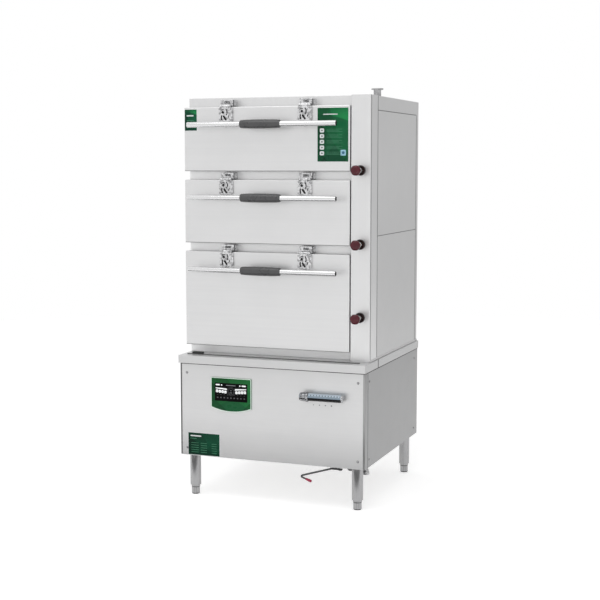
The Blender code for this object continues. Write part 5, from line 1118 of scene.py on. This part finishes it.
def buildSlider():
    piece = Piece("sliderTube")
    c, deep, r, p = slider["cap"], slider["capLength"], slider["radius"], slider["post"]
    start, end = tubeLow.x + slider["lead"], tubeHigh.x - slider["tail"] - deep
    length = end - start
    glass = [(0, 0.0004), (r - 0.0006, 0.0004), (r, 0.001), (r, length), (0, length)]
    piece.turned(glass, (start, sliderY, sliderZ), toRight, 64, sliderGlass(sliderZ, r))
    cap = [(0, -0.0006), (r, -0.0006), (r, 0.0034), (r - 0.0006, 0.0042), (c + 0.0006, 0.0048),
           (c, deep - 0.0008), (c - 0.0012, deep), (0, deep)]
    piece.turned(cap, (end, sliderY, sliderZ), toRight, 64, brightChrome)
    collar = [(0, 0), (r - 0.001, 0), (r - 0.0002, 0.0012), (r - 0.0002, 0.004), (r - 0.001, 0.0046),
              (0, 0.0046)]
    piece.turned(collar, (start, sliderY, sliderZ), toRight, 64, brightChrome)
    reach = baseFront - sliderY
    stalk = [(p, 0.0), (p, reach - 0.003), (p + 0.003, reach - 0.0022), (p + 0.0034, reach - seat)]
    for x in (start + p + 0.001, end - 0.002):
        piece.turned(stalk, (x, sliderY, sliderZ), toRear, 24, brightChrome)
    piece.done("root", "slider_tube", "power_slider_tube")


def buildRing():
    length, bore = ringHigh.x - ringLow.x, slider["radius"] + 0.0004
    crest, waist = slider["ring"], slider["waist"]
    shares = ((0.10, waist - 0.0010), (0.20, waist), (0.42, waist + 0.0004), (0.52, waist - 0.0002),
              (0.57, waist - 0.0014), (0.63, waist - 0.0014), (0.67, crest - 0.0012), (0.70, crest - 0.0002),
              (0.73, crest), (0.87, crest), (0.90, crest - 0.0004), (0.92, crest - 0.0014))
    profile = [(bore, 0.0), (bore + 0.0006, 0.0), (bore + 0.0012, 0.0008),
               *[(r, length * share) for share, r in shares], (waist - 0.0006, length - 0.0012),
               (bore + 0.0006, length), (bore, length), (bore, 0.0)]
    mesh = turnedMesh(profile, (ringLow.x, sliderY, sliderZ), toRight, 96)
    ring = smoothObject("sliderRing", mesh, [ringChrome], 30)
    # small grips cut across the crest, once the shading is set

    def gripCut(angle, away, point):
        return slider["gripDepth"] * (1 - math.cos(slider["grips"] * angle)) / 2

    carve(mesh, (1, 2), (sliderY, sliderZ), crest - 0.0003, gripCut)
    dress(ring, "power_slider", "chrome", "power_slider_ring")


def buildStepDots():
    # four plain dots below the tube, one for each step of heat
    piece = Piece("stepMarks")
    for index in range(stepDots["count"]):
        spot = (stepDots["start"] + stepDots["pitch"] * index, sliderZ - stepDots["drop"])
        piece.plate([circlePoints(stepDots["radius"] + stepDots["growth"] * index, spot)], 0.0003,
                    (0, baseFront, 0), markGrey)
    piece.done("root", "control_panel")


buildSlider()
buildRing()
buildStepDots()
print("slider built")


# Screws of the base panels

panelScrew = dict(radius=0.0050, height=0.0024, across=0.4170, drop=0.080, rise=0.035, frontInset=0.064,
                  rearInset=0.056)


def buildScrews():
    piece = Piece("panelScrews")

    def driven(place, axis):
        # a dark ring round each screw head: painted shadow
        piece.turned([(0.0040, 0.0), (0.0058, 0.0), (0.0056, 0.0005), (0.0040, 0.0005)], place, axis, 24,
                     jointAndShadeGrey)
        piece.screw(place, axis, panelScrew["radius"], panelScrew["height"])

    for z in (baseHigh.z - panelScrew["drop"], baseLow.z + panelScrew["rise"]):
        for x in (-panelScrew["across"], panelScrew["across"]):
            driven((x, baseFront - seat, z), toFront)
            driven((x, baseHigh.y + seat, z), toRear)
        for y in (baseFront + panelScrew["frontInset"], baseHigh.y - panelScrew["rearInset"]):
            for way in (-1, 1):
                driven((way * (rightSide + seat), y, z), (way, 0, 0))
    piece.done("root", "chrome")


buildScrews()


# Legs and feet

leg = dict(radius=0.0255, wall=0.0015, flange=0.078, flangeThickness=0.004, bottom=0.044, sheet=0.002,
           plug=0.012, screwInset=0.009)
foot = dict(collar=0.021, collarHeight=0.008, body=0.019, stem=0.008, stemLength=0.016, sole=0.0042, flutes=8,
            fluteDepth=0.0026, threads=9, pitch=0.0016, ring=0.0030)
corners = ("front_left", "front_right", "rear_left", "rear_right")
legPlaces = {place: middleOf("foot_" + place, 0, 1) for place in corners}


def buildLegs():
    piece = Piece("legSet")
    low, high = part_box("leg_base")
    half, r, bottom, socket = leg["flange"] / 2, leg["radius"], leg["bottom"], foot["stem"] + seat
    plateLow = high.z - leg["sheet"]
    flangeLow, inside, screwAt = plateLow - leg["flangeThickness"], r - leg["wall"], half - leg["screwInset"]
    tube = [(r + 0.0022, flangeLow + 0.0003), (r + 0.0012, flangeLow - 0.0012), (r, flangeLow - 0.0024),
            (r, bottom + 0.0015), (r - 0.0004, bottom + 0.0004), (r - 0.0012, bottom), (socket, bottom),
            (socket, bottom + leg["plug"]), (inside, bottom + leg["plug"]), (inside, flangeLow + 0.0003)]
    piece.block((low.x, low.y, plateLow), high, 0.0006, tankSteel)
    for x, y in legPlaces.values():
        piece.block((x - half, y - half, flangeLow), (x + half, y + half, plateLow + 0.0002), 0.0012,
                    legSteel)
        piece.turned(tube, (x, y, 0), toTop, 64, legSteel)
        for across, deep in fourCorners(screwAt, screwAt):
            piece.screw((x + across, y + deep, flangeLow), toFloor, 0.0042, 0.0022)
    piece.done("root", "leg_steel", "leg_base")


def buildFoot(place, x, y):
    top = leg["bottom"] - 0.0003
    c, b, s, sole = foot["collar"], foot["body"], foot["stem"], foot["sole"]
    under, tip = top - foot["collarHeight"], top + foot["stemLength"]
    profile = [(0, tip), (s - 0.001, tip)]
    for step in range(foot["threads"]):
        z = tip - 0.001 - foot["pitch"] * step
        profile += [(s, z), (s - 0.0007, z - foot["pitch"] / 2)]
    profile += [(s - 0.0007, top), (c - 0.001, top), (c, top - 0.001), (c, under + 0.001),
                (c - 0.0008, under), (b + 0.0003, under), (b, under - 0.0006), (b, sole), (0, sole)]
    mesh = turnedMesh(profile, (x, y, 0), toTop, 96)
    # shallow flutes down the body give it its grip

    def flute(angle, away, point):
        return foot["fluteDepth"] * max(0.0, math.cos(foot["flutes"] * angle)) * (point.z < under - 0.0003)

    carve(mesh, (0, 1), (x, y), s + 0.001, flute)
    piece = Piece("footGlide_" + place)
    piece.take(mesh, legSteel)
    # a black ring under the collar: painted shade of a groove
    ring = [(s, 0), (b + 0.0002, 0), (b + 0.0006, 0.0008), (b + 0.0006, 0.0022), (b + 0.0002, foot["ring"]),
            (s, foot["ring"])]
    piece.turned(ring, (x, y, under - 0.0032), toTop, 48, blackAndPaintedShade)
    pad = [(0, sole), (b - 0.0006, sole), (b - 0.0002, 0.0036), (b - 0.0018, 0.0004), (b - 0.0026, 0.0),
           (0, 0.0)]
    piece.turned(pad, (x, y, 0), toTop, 48, soleRubber)
    piece.done("foot_" + place, "leg_steel", "foot_" + place)


buildLegs()
for place, (x, y) in legPlaces.items():
    buildFoot(place, x, y)
print("legs and feet built")


# The drain under the base

drain = dict(pipe=0.011, bend=0.026, flange=0.022, flangeThickness=0.006, body=0.0165, bodyLength=0.052,
             stem=0.005, z=0.185, downX=0.240, downSetback=0.305, setback=0.095, valveX=0.303, outletX=0.429,
             coupling=0.0245, couplingLength=0.028, couplingShift=0.040)
lever = dict(reach=0.182, bendForward=0.045, bendDrop=0.036, tipReturn=0.063, tipForward=0.055, tipDrop=0.054,
             rod=0.0043, bendRadius=0.0055, plate=0.062, width=0.022, thickness=0.0045, nut=0.009,
             nutThickness=0.004, tip=0.0065, tipLength=0.030)
drainY, drainZ, valveX = baseFront + drain["setback"], drain["z"], drain["valveX"]
plateTop = drainZ - drain["body"] - 0.002
rodZ = plateTop - lever["thickness"] / 2
rodStart = Vector((valveX - lever["plate"] + lever["width"], drainY, rodZ))
rodBend = Vector((valveX - lever["reach"], drainY - lever["bendForward"], rodZ - lever["bendDrop"]))
rodTip = Vector((rodBend.x + lever["tipReturn"], drainY - lever["tipForward"], rodZ - lever["tipDrop"]))
rodWay = (rodTip - rodBend).normalized()


def buildDrain():
    piece = Piece("drainRun")
    low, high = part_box("drain_pipe")
    outlet, r, b, length = low.z, drain["pipe"], drain["body"], drain["bodyLength"]
    downX, downY, outX = drain["downX"], baseFront + drain["downSetback"], drain["outletX"]
    path = [(downX, downY, high.z), (downX, downY, drainZ), (downX, drainY, drainZ), (outX, drainY, drainZ),
            (outX, drainY, outlet + 0.014)]
    piece.rod(bentLine(path, drain["bend"], 10), r, 32, pipeSteel)
    mouth = [(r, 0.014), (r, 0.001), (r - 0.0006, 0.0), (r - 0.0018, 0.0), (r - 0.0022, 0.0008),
             (r - 0.0022, 0.024), (0, 0.024)]
    piece.turned(mouth, (outX, drainY, outlet), toTop, 40, pipeSteel)
    thick = drain["flangeThickness"]
    piece.turned([(0, 0), *rim(drain["flange"], 0, thick, 0.0008), (0, thick)],
                 (downX, downY, high.z - thick - 0.0003), toTop, 40, pipeSteel)
    start = valveX - length / 2
    half = [(r, 0.0), (b - 0.003, 0.0), (b - 0.002, 0.001), (b - 0.002, 0.011), (b - 0.0035, 0.013),
            (b - 0.0035, 0.015), (b - 0.001, 0.019), (b, 0.024)]
    piece.turned(half + [(radius, length - x) for radius, x in reversed(half)], (start, drainY, drainZ),
                 toRight, 40, pipeSteel)
    for x in (start + 0.0005, start + length - 0.0125):
        piece.nut(b - 0.0004, 0.012, (x, drainY, drainZ), toRight, pipeSteel, r - 0.001)
    piece.nut(drain["coupling"], drain["couplingLength"], (valveX + drain["couplingShift"], drainY, drainZ),
              toRight, leverPaint, r - 0.001)
    bell = [(r - 0.001, 0.020), (r + 0.0012, 0.019), (r + 0.0040, 0.014), (r + 0.0046, 0.012),
            (r + 0.0046, 0.004), (r + 0.0040, 0.0012), (r + 0.0025, 0.0), (r - 0.0008, 0.0)]
    piece.turned(bell, (outX - 0.004, drainY, outlet + 0.0001), toTop, 40, pipeSteel)
    s = drain["stem"]
    stem = [(0, 0), (s + 0.003, 0), (s + 0.003, b + 0.001), (s, b + 0.0016), (s, b + 0.0085),
            (s - 0.001, b + 0.0094), (0, b + 0.0094)]
    piece.turned(stem, (valveX, drainY, drainZ), toFloor, 32, pipeSteel)
    piece.done("root", "drain_steel", "drain_pipe")


def buildLever():
    piece = Piece("drainHandle")
    half, hole = lever["width"] / 2, drain["stem"] + 0.0003
    back, low = valveX - lever["plate"] + half, plateTop - lever["thickness"]
    # a plate with one round end, tapered towards the rod, with its stem hole
    taper = [(back + 0.010, half), (back + 0.003, half * 0.80), (back, half * 0.55)]
    outline = arc((valveX, drainY), half, -90, 90, 16) + [(x, drainY + y) for x, y in taper]
    outline += [(x, drainY - y) for x, y in reversed(taper)]
    piece.plate([outline, circlePoints(hole, (valveX, drainY), 24)], lever["thickness"], (0, 0, low),
                leverPaint, 0.0008, (0, 0, 0))
    piece.nut(lever["nut"], lever["nutThickness"], (valveX, drainY, low), toFloor, screwSteel, hole)
    inTip = rodTip - rodWay * lever["tipLength"] / 2
    piece.rod(bentLine([rodStart, rodBend, inTip], lever["bendRadius"], 14), lever["rod"], 24, rodSteel)
    piece.done("drain_lever", "lever_black", "drain_lever")


def buildLeverTip():
    length, r, bore = lever["tipLength"], lever["tip"], lever["rod"] + 0.0003
    shares = ((0.78, 0.0), (0.84, 0.0008), (0.86, 0.006), (0.92, 0.010), (1.0, 0.016), (1.0, length - 0.006),
              (0.94, length - 0.003), (0.78, length - 0.0012), (0.5, length - 0.0002))
    piece = Piece("drainTip")
    piece.turned([(bore, 0.0), *[(r * share, along) for share, along in shares], (0, length)],
                 rodTip - rodWay * length, rodWay, 32, tipPlastic)
    piece.done("drain_lever", "lever_tip", "drain_lever_grip")


buildDrain()
buildLever()
buildLeverTip()
print("drain built")


# Fittings on the rear: water inlet above, cable gland below

fitting = dict(plate=0.003, flange=0.022, flangeThickness=0.006, stub=0.0135, gap=0.0003, inset=0.030,
               pitch=0.0016, screwInset=0.007, mouth=0.014)


def buildFittings():
    piece = Piece("rearFittings")
    low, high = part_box("rear_service_plate")
    x, rear = (low.x + high.x) / 2, baseHigh.y + fitting["gap"]
    plate, r, pitch = fitting["plate"], fitting["stub"], fitting["pitch"]
    outer, end = rear + plate, high.y - rear
    piece.block((low.x, rear, low.z), (high.x, outer, high.z), 0.0012, pipeSteel)
    start = plate + 0.0055
    turns = int((end - start - 0.003) / pitch)
    thread = [(r - 0.001, plate)]
    for step in range(turns):
        at = start + pitch * step
        thread += [(r - 0.0010, at), (r, at + pitch / 2)]
    thread += [(r - 0.0010, end - 0.0012), (r - 0.0016, end)]
    gland = [(r, plate), (r, plate + 0.012), (r - 0.0006, plate + 0.014), (r - 0.002, end - 0.006),
             (r - 0.0045, end - 0.0012), (r - 0.0055, end)]
    for z, bore, wall, finish in ((high.z - fitting["inset"], 0.012, thread, neckBrass),
                                  (low.z + fitting["inset"], 0.006, gland, blackPlastic)):
        piece.nut(fitting["flange"], fitting["flangeThickness"] - plate + 0.004, (x, outer - 0.0002, z),
                  toRear, finish)
        mouth = end - fitting["mouth"]
        piece.turned([(0, plate), *wall, (bore, end), (bore, mouth), (0, mouth)], (x, rear, z), toRear, 40,
                     finish)
    inset, middle = fitting["screwInset"], (low.z + high.z) / 2
    for across, up in fourCorners((high.x - low.x) / 2 - inset, (high.z - low.z) / 2 - inset):
        piece.screw((x + across, outer, middle + up), toRear, 0.0036, 0.0018)
    piece.done("root", "valve_brass", "rear_service_plate")


buildFittings()
print("rear fittings built")


# Studio: pale floor, soft lamps, camera at the photograph's angle

studio = dict(ambient=0.61, lift=0.52, rightSide=0.66, floorRadius=7.0, floorDrop=0.0005,
              card=((-1.2, -1.22, 0.0), (1.2, -0.62, 0.004)))
# the key lamp has no mirror image, which would clip the pale sheets seen from the left
lamps = dict(
    keyLamp=dict(place=(2.0, -5.7, 1.9), target=(0, 0, 0.8), size=(3.0, 3.0), power=75, mirrored=False),
    topLamp=dict(place=(-0.3, -1.9, 4.5), target=(0, 0, 1.0), size=(2.8, 2.2), power=32, mirrored=True))
camera = dict(place=(2.12525, -5.63087, 1.53985), way=(-0.353108, 0.929477, -0.106709), lens=75.68,
              sensor=36.0, far=200.0)


def seenRays(n):
    # two masks: the camera's own rays, and those with mirror images and views through glass
    path = n.add("LightPath", {})
    seen = n.maths("MAXIMUM", path["Is Glossy Ray"], path["Is Transmission Ray"])
    return path["Is Camera Ray"], n.maths("MAXIMUM", path["Is Camera Ray"], seen)


def buildFloor():
    bm = bmesh.new()
    bmesh.ops.create_circle(bm, cap_ends=True, radius=studio["floorRadius"], segments=96)
    bmesh.ops.translate(bm, vec=(0, 0, -studio["floorDrop"]), verts=bm.verts)
    material, n, inputs, where = startMaterial("studioFloor")
    tone = n.mix(n.noise(where, 0.8, 2.0), (0.86, 0.86, 0.86, 1), (0.90, 0.90, 0.90, 1))
    n.feed(inputs["Base Color"], tone)
    inputs["Roughness"].default_value = 0.9
    inputs["Specular IOR Level"].default_value = 0.1
    # the camera sees the floor lifted to white where nothing shades it
    inputs["Emission Color"].default_value = (1, 1, 1, 1)
    n.feed(inputs["Emission Strength"], n.times(seenRays(n)[1], studio["lift"]))
    smoothObject("studioFloor", closedMesh(bm), [material])


def buildCard():
    # a dark card in front, which only polished metal shows, so that bars and castings keep an edge
    card = smoothObject("studioCard", blockMesh(*studio["card"], 0.001, 1), [blackAndPaintedShade], 40)
    card.visible_camera = card.visible_diffuse = card.visible_shadow = card.visible_transmission = False


def buildWorld():
    world = bpy.data.worlds.new("studio")
    bpy.context.scene.world = world
    world.use_nodes = True
    n = Nodes(world.node_tree)
    ground = world.node_tree.nodes["Background"].inputs
    ground["Color"].default_value = (1, 1, 1, 1)
    seenByCamera, seen = seenRays(n)
    strength = n.plus(studio["ambient"], n.times(seen, 1.0 - studio["ambient"]))
    # the room is a little darker to the object's right, though the camera sees white all round
    way = n.split(n.add("TexCoord", {})["Generated"])
    toTheRight = n.plus(n.times(way[0], 0.85), n.times(way[1], 0.5))
    shade = n.ramp(toTheRight, 0.15, 0.75, 1.0, studio["rightSide"])
    n.feed(ground["Strength"], n.times(strength, n.maths("MAXIMUM", shade, seenByCamera)))


def aim(name, data, place, way):
    thing = addObject(name, data)
    thing.location = place
    thing.rotation_euler = Vector(way).to_track_quat("-Z", "Y").to_euler()
    return thing


def addLamp(name, place, target, size, power, mirrored):
    data = bpy.data.lights.new(name, "AREA")
    data.shape = "RECTANGLE"
    data.size, data.size_y = size
    data.energy = power
    aim(name, data, place, Vector(target) - Vector(place)).visible_glossy = mirrored


def addCamera():
    data = bpy.data.cameras.new("photoCamera")
    data.lens, data.sensor_width, data.clip_end = camera["lens"], camera["sensor"], camera["far"]
    bpy.context.scene.camera = aim("photoCamera", data, camera["place"], camera["way"])


buildFloor()
buildCard()
buildWorld()
for name, lamp in lamps.items():
    addLamp(name, **lamp)
addCamera()
bpy.context.scene.view_settings.view_transform = "Standard"
